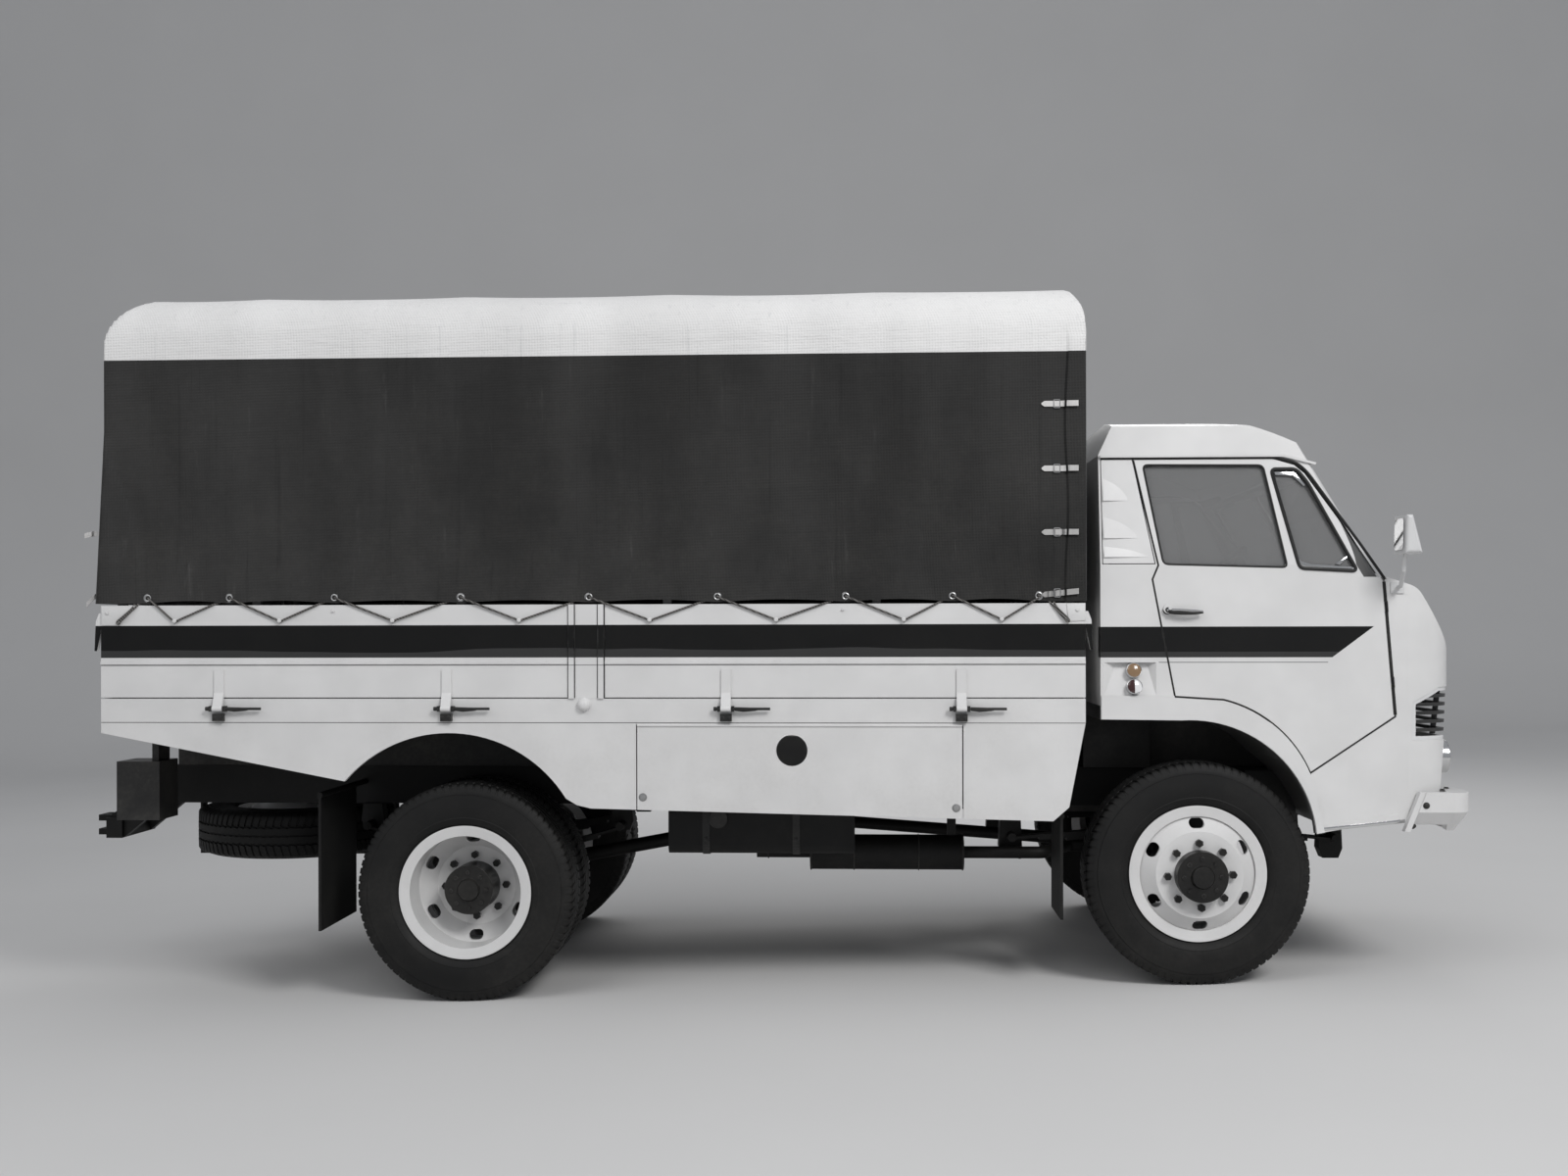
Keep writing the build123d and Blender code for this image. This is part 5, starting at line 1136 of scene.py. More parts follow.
# %% Edges of the tilt
REAR_FLARE = 0.040
FLARE_HEIGHT = 0.75
FLARE_RUN = 0.25
HEM_LIFT = 0.012
ROOF_SAG = 0.016
ROOF_SAG_AHEAD = 0.008
ROOF_WAVE = 0.004
CURTAIN_HEIGHT = 1.15
CURTAIN_FOLD = 0.012
CURTAIN_BELLY = 0.010


def near_hem(z, height):
    """1 at the hem, falling to 0 at a height above it."""
    return max(0, 1 - (z - HEM) / height)


def on_side(y, z):
    """Whether a point lies on one of the upright sides."""
    return abs(y) > SIDE_FACE - 0.001 and z < SIDE_TOP + 0.002


def roof_limit(x):
    """Height of the tilt's side profile at a place along the bed."""
    for near, table in ((x - TILT_REAR, rear_arc), (TILT_FRONT - x, front_arc)):
        for (x0, z0), (x1, z1) in zip(table, table[1:]):
            if x0 <= near <= x1:
                return z0 + (z1 - z0) * (near - x0) / (x1 - x0)
    return CROWN_Z + 1

# %% [markdown]
# The two functions below give every vertex its final place: one for the sides and the roof, and one
# for the end curtains, which hang in soft upright folds.

# %% Points of the tilt
def tilt_point(x, y, z):
    """A point of the sides or the roof after the cloth's own moves."""
    hand = 1 if y > 0 else -1
    if on_side(y, z):
        flare = REAR_FLARE * near_hem(z, FLARE_HEIGHT) * max(0, 1 - (x - TILT_REAR) / FLARE_RUN)
        lift = HEM_LIFT * between(x, EYELETS) * near_hem(z, 0.08)
        return Vector((x - flare, hand * cloth_face(x, z, hand), z + lift))
    sag = between(x, HOOPS) * (ROOF_SAG if x < 1.85 else ROOF_SAG_AHEAD)
    wave = ROOF_WAVE * noise.noise(Vector((x * 2.1, y * 3.7, 2.0))) * between(x, HOOPS)
    inward = min(1, max(0, (1.1 - abs(y)) / 0.25))
    return Vector((x, y + hand * SEAM_STEP, z + SEAM_STEP + (wave - sag) * inward))


def end_point(x, y, z, out):
    """A point of an end curtain, hung from the top hoop with soft upright folds."""
    hand = 1 if y > 0 else -1
    share = (z - HEM) / CURTAIN_HEIGHT
    width = abs(y) / SIDE_FACE
    fold = CURTAIN_FOLD * sin(y * 17 + 1.3 * sin(y * 5)) * (1 - share) ** 0.7 * (1 - width ** 6)
    belly = CURTAIN_BELLY * sin(pi * share) * (1 - width ** 2)
    flare = REAR_FLARE * near_hem(z, FLARE_HEIGHT) if out < 0 else 0
    side_out = cloth_move(x, z, hand) if on_side(y, z) else 0
    return Vector((x + out * (fold * 0.6 + belly + flare), y + hand * side_out, z))


# %% [markdown]
# The grid is turned into faces column by column. An end curtain takes the upright edges of the first
# or last column as its sides and the rest of it as its top, so no seam opens between them.

# %% Tilt cover
tilt = bmesh.new()
grid = []
for x in columns:
    top = roof_limit(x)
    grid.append([tilt.verts.new(tilt_point(x, y, min(z, top))) for y, z in section])
for first, second in zip(grid, grid[1:]):
    for j in range(len(section) - 1):
        tilt.faces.new((first[j], first[j + 1], second[j + 1], second[j]))
last = len(section) - 1
for column, x, out in ((grid[0], TILT_REAR, -1), (grid[-1], TILT_FRONT, 1)):
    above = column[SIDE_STEPS:last - SIDE_STEPS + 1]
    for k in range(SIDE_STEPS - 1, -1, -1):
        z = quarter[k][1]
        hung = [tilt.verts.new(end_point(x, section[j][0], z, out))
                for j in range(SIDE_STEPS + 1, last - SIDE_STEPS)]
        row = [column[k]] + hung + [column[last - k]]
        for j in range(len(row) - 1):
            corners = (above[j], row[j], row[j + 1], above[j + 1])
            tilt.faces.new(corners if out > 0 else corners[::-1])
        above = row
area = sum(face.calc_area() for face in tilt.faces)
thicken(tilt, CLOTH)
tilt_cover = piece("tilt_cover", tilt, tilt_canvas, hides=("canvas_cover",), sharp=60)
print("tilt area", round(area, 2), "m2")

# %% [markdown]
# The cover is laced down: the rope comes out through an eyelet in the hem, runs down to a hook on the
# board, and goes up behind the hem to the next eyelet. The rope is taut, so its path is known from the
# eyelets and hooks alone and needs no simulation.

# %% Rope through eyelets and hooks
EYELET_Z = 1.770
HOOK_Z = 1.670
BOARD_TOP_Z = 1.738
ROPE = 0.0045


def lace(mesh, s, eyelets, hooks, last_up):
    """Rope through a row of eyelets and round a row of hooks, as one path."""
    path = []
    on_hook, on_board, behind_hem = SIDE_FACE + 0.0095, SIDE_FACE + 0.0055, SIDE_FACE - 0.008
    for i, x in enumerate(eyelets):
        face = cloth_face(x, EYELET_Z, s)
        through = [(x - 0.012, face - 0.014, EYELET_Z + 0.002), (x, face - 0.002, EYELET_Z + 0.002),
                   (x + 0.008, face + 0.008, EYELET_Z - 0.004)]
        if i == len(hooks):
            path += through[::-1]
            break
        hook = hooks[i]
        path += through + [(hook - 0.010, on_hook, HOOK_Z + 0.004), (hook, on_hook, HOOK_Z - 0.009),
                           (hook + 0.012, on_hook, HOOK_Z + 0.002)]
        if i < len(hooks) - 1 or last_up:
            ahead = eyelets[i + 1] if i + 1 < len(eyelets) else last_up
            share = (BOARD_TOP_Z - HOOK_Z) / (EYELET_Z - HOOK_Z)
            path.append((hook + (ahead - hook) * share, on_board, BOARD_TOP_Z))
            path.append((hook + (ahead - hook) * (share + 0.1), behind_hem, BOARD_TOP_Z + 0.010))
    tube(mesh, rounded(sided(path, s), 0.008, 3), ROPE, 8)


def slack_end(mesh, s, top_x, bolt_x, toward):
    """The rope's end, hung as a loop from the hem over a bolt."""
    loop = [(top_x, 1.138, 1.756), (top_x + toward * 0.012, 1.153, 1.738),
            (bolt_x - toward * 0.01, 1.163, 1.672), (bolt_x, 1.163, 1.655),
            (bolt_x + toward * 0.012, 1.163, 1.664), (top_x + toward * 0.035, 1.158, 1.722),
            (top_x + toward * 0.02, 1.138, 1.756)]
    tube(mesh, rounded(sided(loop, s), 0.012, 3), ROPE, 8)


# %% [markdown]
# Eyelets are brass rings pressed into the hem. They stay with the cover, so all of them are one piece
# on the fixed body.

# %% Eyelets
eyelets = bmesh.new()
for s, hand in SIDES:
    for x in EYELETS:
        face = cloth_face(x, EYELET_Z, s)
        ring_at(eyelets, (x, s * (face + 0.0005), EYELET_Z), (0, s, 0), 0.0125, 0.0035)
        lathe(eyelets, ((0.0125, 0.0005), (0.0185, 0.0012), (0.0200, -0.001)), (x, s * face, EYELET_Z),
              (0, s, 0), 20)
piece("eyelets", eyelets, zinc)

# %% [markdown]
# A board takes its hooks and its rope along when it drops, so each board has a rope of its own. What
# differs between the rear and the front board stands in one table, and a loop makes all four.

# %% Lacing and fittings of the boards
HOOKS = {"rear": (-1.244, -0.781, -0.286, 0.265), "front": (0.829, 1.372, 1.915, 2.330)}
HOLES = {"rear": EYELETS[:4], "front": EYELETS[4:]}
LAST_UP = {"rear": EYELETS[4], "front": None}
# Where the loose end hangs from, its bolt, and the way it faces
LOOSE_END = {"rear": (-1.400, -1.490, -1), "front": (2.525, 2.606, 1)}
PIN_X = {"rear": -0.548, "front": 1.657}
CORNER_PLATE = {
    "rear": ((-1.570, 1.737), (-1.410, 1.737), (-1.478, 1.664), (-1.502, 1.652), (-1.570, 1.652)),
    "front": ((2.604, 1.737), (2.683, 1.737), (2.683, 1.664), (2.612, 1.660))}
PLATE_BOLTS = {"rear": ((-1.545, 1.707), (-1.490, 1.664)), "front": ((2.649, 1.710), (2.612, 1.668))}
PLATE_THICKNESS = 0.0045
HOOK_SHAPE = ((0, 0.019), (0.006, 0.018), (0.0095, 0.014), (0.0085, 0.0105), (0.005, 0.009),
              (0.0045, 0.002), (0.010, 0.0015), (0.0105, 0))
PIN_SHAPE = ((0, 0.009), (0.005, 0.008), (0.0065, 0.005), (0.0065, 0))
for s, hand in SIDES:
    for place in ("rear", "front"):
        board = f"board_{place}_{hand}"
        rope = bmesh.new()
        lace(rope, s, HOLES[place], HOOKS[place], LAST_UP[place])
        slack_end(rope, s, *LOOSE_END[place])
        piece(f"lacing_{place}_{hand}", rope, lacing_rope, board)
        fittings = bmesh.new()
        for x in HOOKS[place]:
            lathe(fittings, HOOK_SHAPE, (x, s * SIDE_FACE, HOOK_Z), (0, s, 0), 20)
        lathe(fittings, PIN_SHAPE, (PIN_X[place], s * SIDE_FACE, 1.713), (0, s, 0), 16)
        plate = [(x, s * SIDE_FACE, z) for x, z in CORNER_PLATE[place]]
        slab(fittings, plate, (0, s * PLATE_THICKNESS, 0), 0.0015)
        for x, z in PLATE_BOLTS[place]:
            bolt(fittings, (x, s * (SIDE_FACE + PLATE_THICKNESS), z), (0, s, 0), 0.007, 0.006)
        piece(f"board_fittings_{place}_{hand}", fittings, bed_paint, board)

# %% [markdown]
# Webbing straps with a buckle close the front flap of the tilt, and two longer ends hang free behind.
# A strap this narrow is drawn in short plates that follow the cloth, because a simulation would lose it.

# %% Webbing
STRAP_HEIGHTS = (2.583, 2.309, 2.039, 1.781)
STRAP_X = 2.500
STRAP_LENGTH = 0.154
STRAP_STEPS = 12
STRAP_MIDDLE = 2.577
STRAP_HALF = 0.012
WEBBING = 0.003
BUCKLE = ((2.552, -0.017), (2.578, -0.017), (2.578, 0.017), (2.552, 0.017))
RIVETS = (2.628, 2.643)
# Height, length behind the curtain and how far the tip drops
FREE_ENDS = ((2.050, 0.100, 0.004), (1.786, 0.085, 0.045))
straps = bmesh.new()
buckles = bmesh.new()


def web(first, second, widths, s):
    """A short plate of webbing between two points of its middle line."""
    (x0, y0, z0), (x1, y1, z1) = first, second
    corners = ((x0, y0, z0 - widths[0]), (x1, y1, z1 - widths[1]),
               (x1, y1, z1 + widths[1]), (x0, y0, z0 + widths[0]))
    slab(straps, corners, (0, s * WEBBING, 0))

# %% [markdown]
# Each strap starts in a point, widens at once, climbs over the flap's edge and carries a buckle frame
# and two rivets. The lowest one slants a little, as in the photograph.

# %% Tilt straps
for s, hand in SIDES:
    for z in STRAP_HEIGHTS:
        slant = 0.0 if z > 2 else 0.10
        line = []
        for x in (STRAP_X + STRAP_LENGTH * i / STRAP_STEPS for i in range(STRAP_STEPS + 1)):
            over_flap = 0.006 if x > FLAP_EDGE - 0.014 else 0
            y = s * (cloth_face(x, z, s) + WEBBING + over_flap)
            line.append((x, y, z + (x - STRAP_MIDDLE) * slant))
        for first, second in zip(line, line[1:]):
            widths = [min(STRAP_HALF, 0.003 + (x - STRAP_X) * 0.8) for x in (first[0], second[0])]
            web(first, second, widths, s)
        y = s * (cloth_face(2.56, z, s) + 0.006)
        frame_path = [(x, y, z + rise) for x, rise in BUCKLE]
        tube(buckles, rounded(frame_path, 0.005, 3, closed=True), 0.0025, 6, closed=True)
        for x in RIVETS:
            seat = (x, s * (cloth_face(x, z, s) + 0.009), z + (x - STRAP_MIDDLE) * slant)
            lathe(buckles, ((0, 0.002), (0.0035, 0.0015), (0.004, 0)), seat, (0, s, 0), 12)
    for height, length, drop in FREE_ENDS:
        root = TILT_REAR - 0.006 - 0.02 * near_hem(height, FLARE_HEIGHT)
        y = s * (SIDE_FACE - 0.055)
        line = [(root - length * t, y, height + 0.006 * sin(pi * t) - drop * t ** 2)
                for t in (i / 8 for i in range(9))]
        for first, second in zip(line, line[1:]):
            web(first, second, (0.011, 0.011), s)
piece("tilt_straps", straps, strap_web)
piece("strap_buckles", buckles, zinc)

# %% [markdown]
# On the boards and skirts: a dark lever beside each hinge strap, two bolts on each stop block, the round
# cap below the posts, and a quarter-turn fastener at each lower corner of a locker flap. The joints under
# the rail and between boards and posts are thin dark strips that paint their shadow, since a joint is only
# a shadow.

# %% Board levers and flap fasteners
HINGES = (-1.050, -0.051, 1.157, 2.160)
LEVER_Y = 1.172
LEVER_Z = 1.290
LEVER = ((0.038, 1.282), (0.075, 1.277), (0.125, 1.281), (0.148, 1.287), (0.146, 1.292), (0.10, 1.296),
         (0.038, 1.298))
LEVER_PIN = ((0, -0.052), (0.009, -0.052), (0.009, -0.040), (0.0062, -0.038))
STOP_BOLT_Y = 1.170
CAP = ((0, 0.028), (0.012, 0.027), (0.021, 0.022), (0.0275, 0.012), (0.029, 0.002), (0.0305, 0))
CAP_PLACE = (0.545, 1.307)
FASTENER = ((0, 0.0045), (0.009, 0.004), (0.0135, 0.0035), (0.0142, 0.001), (0.0150, 0.0022),
            (0.0175, 0.0015), (0.0180, 0))
FASTENERS = ((0.798, 0.910), (2.137, 0.868))
SCREW_SLOT_Y = 1.1535
POST_JOINTS = (0.4765, 0.5045, 0.6035, 0.6315)
levers_and_shadow_strips = bmesh.new()
caps = bmesh.new()
for s, hand in SIDES:
    out = (0, s, 0)
    for x in HINGES:
        slab(levers_and_shadow_strips, [(x + a, s * (LEVER_Y - 0.004), z) for a, z in LEVER], (0, s * 0.008, 0), 0.0015)
        lathe(levers_and_shadow_strips, LEVER_PIN, (x, s * LEVER_Y, LEVER_Z), (1, 0, 0), 16)
        for step in (-0.014, 0.014):
            bolt(levers_and_shadow_strips, (x + step, s * STOP_BOLT_Y, 1.252), out, 0.007, 0.005)
    lathe(caps, CAP, (CAP_PLACE[0], s * SIDE_FACE, CAP_PLACE[1]), out, 32)
    fasteners = bmesh.new()
    for x, z in FASTENERS:
        lathe(fasteners, FASTENER, (x, s * SIDE_FACE, z), out, 24)
        y = s * SCREW_SLOT_Y
        brick(fasteners, (x - 0.010, y - 0.002, z - 0.0018), (x + 0.010, y + 0.002, z + 0.0018), 0.0005)
    piece(f"flap_fasteners_{hand}", fasteners, zinc, f"locker_flap_{hand}")
    face = s * SIDE_FACE
    # Thin dark strips that paint the shadow in the joint under the rail and between boards and posts.
    brick(levers_and_shadow_strips, (-1.574, face - 0.0006, 1.2282), (2.683, face + 0.0006, 1.2306), 0)
    for x in POST_JOINTS:
        y = s * (SIDE_FACE + 0.0005)
        brick(levers_and_shadow_strips, (x - 0.0016, y - 0.002, 1.336), (x + 0.0016, y + 0.002, 1.737), 0)
piece("hinge_levers_and_shadow_strips", levers_and_shadow_strips, black_steel)
piece("post_caps", caps, bed_paint)

# %% [markdown]
# Rubber seals the windows, and the dark line they draw is what gives the cab its face. Each seal is a
# tube that follows the opening's outline, which is drawn in side view and set on the sloping flank.

# %% Window seals
SEAL_BEND = 0.022
MAIN_WINDOW = ((2.943, 2.331), (3.452, 2.327), (3.542, 1.888), (3.021, 1.903))
VENT_WINDOW = ((3.485, 2.310), (3.592, 2.310), (3.637, 2.251), (3.833, 1.871), (3.592, 1.884))
VENT_TOP = ((3.500, 2.298), (3.585, 2.298), (3.630, 2.240), (3.620, 2.236), (3.578, 2.282), (3.504, 2.284))
VENT_FOOT = ((3.583, 1.935), (3.600, 1.912), (3.640, 1.899), (3.812, 1.890), (3.819, 1.878), (3.597, 1.889))
VENT_STRUT = ((3.742, 1.902), (3.790, 1.934), (3.798, 1.930), (3.760, 1.898))


def on_flank(points, s, out):
    """Side-view points set on the cab's flank, or a little outside it."""
    return [(x, s * (FLANK_Y - max(0.0, z - BELT_Z) * FLANK_LEAN + out), z) for x, z in points]


def window_trim(s, hand):
    """The rubbers of one side's windows and the bright strips of its vent."""
    seal = bmesh.new()
    for window, out, wide in ((MAIN_WINDOW, -0.001, 0.0045), (VENT_WINDOW, 0.001, 0.0075)):
        tube(seal, rounded(on_flank(window, s, out), SEAL_BEND, 4, closed=True), wide, 8, closed=True)
    piece(f"window_seals_{hand}", seal, seal_rubber, f"door_{hand}")
    trim = bmesh.new()
    for outline in (VENT_TOP, VENT_FOOT, VENT_STRUT):
        slab(trim, on_flank(outline, s, -0.008), (0, s * 0.006, 0), 0.0012)
    piece(f"vent_trim_{hand}", trim, chrome, f"door_{hand}")

# %% [markdown]
# The door handle is a dark round base with a bright button, and a grip whose lower half lies in shadow. Two
# tapered tubes paint that with few faces: a dark one for the grip's shaded lower half and a bright one for
# its lit upper half. All the trim of a door is made together, and rides on it.

# %% Door handles
HANDLE_PLACE = (3.036, 1.708)
BASE = ((0, 0.020), (0.010, 0.019), (0.015, 0.016), (0.0165, 0.010), (0.018, 0.002), (0.019, 0))
BUTTON = ((0, 0.0225), (0.005, 0.022), (0.0065, 0.0195), (0.0065, 0.017))
GRIP_SHADED_HALF = ((3.040, 1.124, 1.700), (3.10, 1.131, 1.694), (3.150, 1.130, 1.693), (3.182, 1.124, 1.697))
GRIP_LIT_HALF = ((3.050, 1.128, 1.709), (3.10, 1.136, 1.707), (3.150, 1.134, 1.704), (3.180, 1.126, 1.702))
for s, hand in SIDES:
    window_trim(s, hand)
    # The dark tube paints the grip's shaded lower half, and the bright tube its lit upper half.
    for name, turned, steps, path, radius, material in (
            ("handle_base_and_shaded_grip", BASE, 28, GRIP_SHADED_HALF, taper(0.0085, 0.004), seal_rubber),
            ("button_and_lit_grip", BUTTON, 20, GRIP_LIT_HALF, taper(0.0055, 0.002), chrome)):
        handle = bmesh.new()
        lathe(handle, turned, (HANDLE_PLACE[0], s * FLANK_Y, HANDLE_PLACE[1]), (0, s, 0), steps)
        tube(handle, rounded(sided(path, s), 0.02, 3), radius, 10)
        piece(f"{name}_{hand}", handle, material, f"door_{hand}")

# %% [markdown]
# The rain gutter, the gap round the door and the windscreen's rubber are one dark piece on the cab; its
# tubes are seal rubber, and along the gutter and in the door gaps they also paint the shadow there. A
# bright strip closes the sill below the door's front corner.

# %% Gutters, door gaps and windscreen rubber
GUTTER = ((2.764, 2.3600), (3.500, 2.3600), (3.590, 2.340), (3.636, 2.300), (3.700, 2.205), (3.850, 1.985),
          (3.948, 1.836))
DOOR_FRONT = ((3.9435, 1.826), (3.9890, 1.262))
DOOR_ARCH = arc((3.273, 1.326), (3.490, 1.215), (3.635, 1.015), 12)
DOOR_REAR = [(2.905, 2.350), (2.999, BELT_Z), (2.974, 1.839), (3.068, 1.339)] + DOOR_ARCH \
    + [(3.637, 1.018), (3.986, 1.252)]
PANE = ((0.025, 1.890), (0.930, 1.890), (0.870, 2.272), (0.025, 2.272))
SILL = ((3.672, 0.768), (4.028, 0.806), (4.028, 0.822), (3.672, 0.784))


def screen_x(z):
    """Where the windscreen's plane stands at a height."""
    return SCREEN_AT_ROAD - z * SCREEN_LEAN


seals_and_gap_shadows = bmesh.new()
sill = bmesh.new()
for s, hand in SIDES:
    # Dark tubes under the gutter and in the door gaps: seal rubber that also paints the shadow in the gap.
    tube(seals_and_gap_shadows, rounded(on_flank(GUTTER, s, -0.0005), 0.03, 4), 0.0062, 8)
    for edge, wide in ((DOOR_FRONT, 0.0058), (DOOR_REAR, 0.0042)):
        tube(seals_and_gap_shadows, on_flank(edge, s, -0.0030), wide, 8)
    pane = [(screen_x(z) - 0.002, s * y, z) for y, z in PANE]
    tube(seals_and_gap_shadows, rounded(pane, 0.04, 5, closed=True), 0.008, 8, closed=True)
    slab(sill, [(x, s * 1.099, z) for x, z in SILL], (0, s * 0.008, 0), 0.002)
piece("cab_seals_and_gap_shadows", seals_and_gap_shadows, seal_rubber)
piece("sill_strips", sill, chrome)

# %% [markdown]
# The lamps get real lenses: crowned glass in front, and two small round lamps on the slope of each
# scoop, whose axis leans with that slope. A thin bright ring holds each of them.

# %% Lamps
HEADLAMP_X = 4.2835
HEADLAMP_Z = 1.066
HEADLAMP_Y = (0.650, 0.830)
SIDE_LAMP_Z = (1.446, 1.378)
SLOPE = 31 / 146
SLOPE_TOP_Y = 1.101
SLOPE_TOP_Z = 1.339
LAMP_BODY = 0.0285
lenses = bmesh.new()
side_lenses = bmesh.new()
rings = bmesh.new()
for s, hand in SIDES:
    for y in HEADLAMP_Y:
        lathe(lenses, dome(0.0645, 0.004, 0.006, 10), (HEADLAMP_X, s * y, HEADLAMP_Z), (1, 0, 0), 48)
        ring_at(rings, (HEADLAMP_X + 0.0045, s * y, HEADLAMP_Z), (1, 0, 0), 0.0685, 0.0042)
for s, hand in SIDES:
    out = Vector((0, s, SLOPE)).normalized()
    for z in SIDE_LAMP_Z:
        seat = Vector((SIDE_LAMP_X, s * (SLOPE_TOP_Y - (z - SLOPE_TOP_Z) * SLOPE), z))
        lathe(side_lenses, dome(0.0295, LAMP_BODY, 0.006, 9), seat, out, 32)
        ring_at(rings, seat + out * LAMP_BODY, out, 0.0312, 0.0022)
piece("headlamp_lenses", lenses, head_lens)
piece("side_lamp_lenses", side_lenses, side_lens)
piece("lamp_rings", rings, chrome)

# %% [markdown]
# Mirrors get their glass, and two wipers rest on the windscreen: an arm that tapers from its pivot to
# the blade, and a thin blade in the plane of the glass.

# %% Mirrors, wipers and bumper bolts
MIRROR = ((3.9602, 1.185, 1.952), (3.9602, 1.295, 1.952), (3.9640, 1.295, 2.082), (3.9640, 1.185, 2.082))
PIVOT = ((0, 0.018), (0.010, 0.016), (0.012, 0.002), (0.018, 0))
BLADE_HALF = 0.19
# Place and axis on the left side, and the head's radius and height
BUMPER_BOLTS = (
    ((4.101, 1.150, 0.884), (0, 1, 0), 0.010, 0.008),
    ((4.060, 1.104, 0.792), (0, 0.81, -0.59), 0.010, 0.008),
    ((4.205, 1.040, 0.938), (0, 0, 1), 0.009, 0.006),
    ((4.250, 0.960, 0.938), (0, 0, 1), 0.009, 0.006),
    ((4.262, 0.620, 0.938), (0, 0, 1), 0.009, 0.006))
glasses = bmesh.new()
wipers = bmesh.new()
bumper_bolts = bmesh.new()
for s, hand in SIDES:
    slab(glasses, rounded(sided(MIRROR, s), 0.02, 4, closed=True), (-0.0025, 0, 0))
    foot = Vector((screen_x(1.868) + 0.045, s * 0.760, 1.858))
    head = Vector((screen_x(2.060) + 0.016, s * 0.520, 2.060))
    tube(wipers, (foot, foot + Vector((0.012, 0, 0.016)), head), taper(0.0055, 0.002), 8)
    lathe(wipers, PIVOT, foot - Vector((0.012, 0, 0.008)), (0.8, 0, 0.6), 20)
    span = Vector((-SCREEN_LEAN, -s * 0.35, 1.0)).normalized() * BLADE_HALF
    tube(wipers, (head - span, head + span), 0.0042, 6)
    for centre, axis, radius, height in BUMPER_BOLTS:
        centre, axis = sided((centre, axis), s)
        bolt(bumper_bolts, centre, axis, radius, height)
piece("mirror_glasses", glasses, mirror_glass)
piece("wipers", wipers, seal_rubber)
piece("bumper_bolts", bumper_bolts, black_steel)

# %% [markdown]
# The seats are padded, so each cushion is a crowned closed form: full in the middle, drawn in along
# its sides, with sewn channels. The rounding comes from a power curve on a divided cube, which keeps
# corners soft without a simulation.

# %% Cushions
CHANNELS = (-0.66, -0.33, 0.0, 0.33, 0.66)
CHANNEL_DEPTH = 0.010
CHANNEL_WIDTH = 0.035
CROWN = 0.014
CORNER_POWER = 7.0


def cushion(mesh, place, size):
    """A crowned pad with sewn channels, drawn about the middle of a place."""
    pad = bmesh.new()
    bmesh.ops.create_cube(pad, size=2.0)
    bmesh.ops.subdivide_edges(pad, edges=pad.edges, cuts=23, use_grid_fill=True)
    for vert in pad.verts:
        shrink = sum(abs(value) ** CORNER_POWER for value in vert.co) ** (-1 / CORNER_POWER)
        a, b, c = vert.co * shrink
        pulled_a, pulled_b = 1 - 0.030 * (1 - b * b), 1 - 0.035 * (1 - a * a)
        rise = CROWN * (1 - a * a) * (1 - b * b) * (1 if c > 0 else 0.15) * abs(c)
        sewn = sum(CHANNEL_DEPTH * exp(-((b - line) / CHANNEL_WIDTH) ** 2) for line in CHANNELS)
        sewn *= max(0, c) * (1 - a ** 8)
        crease = 0.0012 * noise.noise(Vector((a * 5, b * 5, c * 2)))
        vert.co = (a * size[0] / 2 * pulled_a, b * size[1] / 2 * pulled_b,
                   c * size[2] / 2 + (rise if c > 0 else -rise) - sewn + crease)
    pad.transform(place)
    data = bpy.data.meshes.new("pad")
    pad.to_mesh(data)
    pad.free()
    mesh.from_mesh(data)
    bpy.data.meshes.remove(data)


def piping(mesh, place, size):
    """A piped seam round a pad."""
    length, width, height = size[0] / 2 * 0.985, size[1] / 2 * 0.985, size[2] * 0.30
    corners = [(-length, -width, height), (length, -width, height),
               (length, width, height), (-length, width, height)]
    path = rounded(corners, 0.06, 6, closed=True)
    tube(mesh, [place @ point for point in path], 0.004, 8, closed=True)


# %% [markdown]
# Two seats stand in the cab, each a pad and a back with piping, on a boxed base with a bent tube frame
# behind the back.

# %% Seats
SEAT_Y = 0.530
PAD_SIZE = (0.46, 0.53, 0.115)
BACK_SIZE = (0.44, 0.53, 0.105)
BACK_TILT = radians(98)
SEAT_BOX = ((2.975, -0.245, 1.285), (3.415, 0.245, 1.442))
FRAME_HALF = 0.235
FRAME_TUBE = 0.011
frames = bmesh.new()
for s, hand in SIDES:
    y = s * SEAT_Y
    base = Matrix.Translation((3.205, y, 1.505))
    back = (Matrix.Translation((2.985, y, 1.775)) @ Matrix.Rotation(BACK_TILT, 4, "Y")
            @ Matrix.Rotation(pi, 4, "Z"))
    for name, place, size in (("seat_pad", base, PAD_SIZE), ("seat_back", back, BACK_SIZE)):
        pad = bmesh.new()
        cushion(pad, place, size)
        made = piece(f"{name}_{hand}", pad, seat_leather, hides=("seats",))
        seam = bmesh.new()
        piping(seam, place, size)
        piece(f"{name}_piping_{hand}", seam, seat_leather)
    low, high = ((x, y + offset, z) for x, offset, z in SEAT_BOX)
    brick(frames, low, high, 0.012)
    for side_y in (y - FRAME_HALF, y + FRAME_HALF):
        bent = [(3.08, side_y, 1.44), (2.955, side_y, 1.47), (2.915, side_y, 1.98)]
        tube(frames, rounded(bent, 0.03, 4), FRAME_TUBE, 8)
    tube(frames, [(2.915, y - FRAME_HALF, 1.975), (2.915, y + FRAME_HALF, 1.975)], FRAME_TUBE, 8)
piece("seat_frames", frames, black_steel)

# %% [markdown]
# Three dials show through the windscreen. They stay without figures: a ring, a face and a needle are
# what can be told apart from outside. The steering wheel gets its round boss with them.

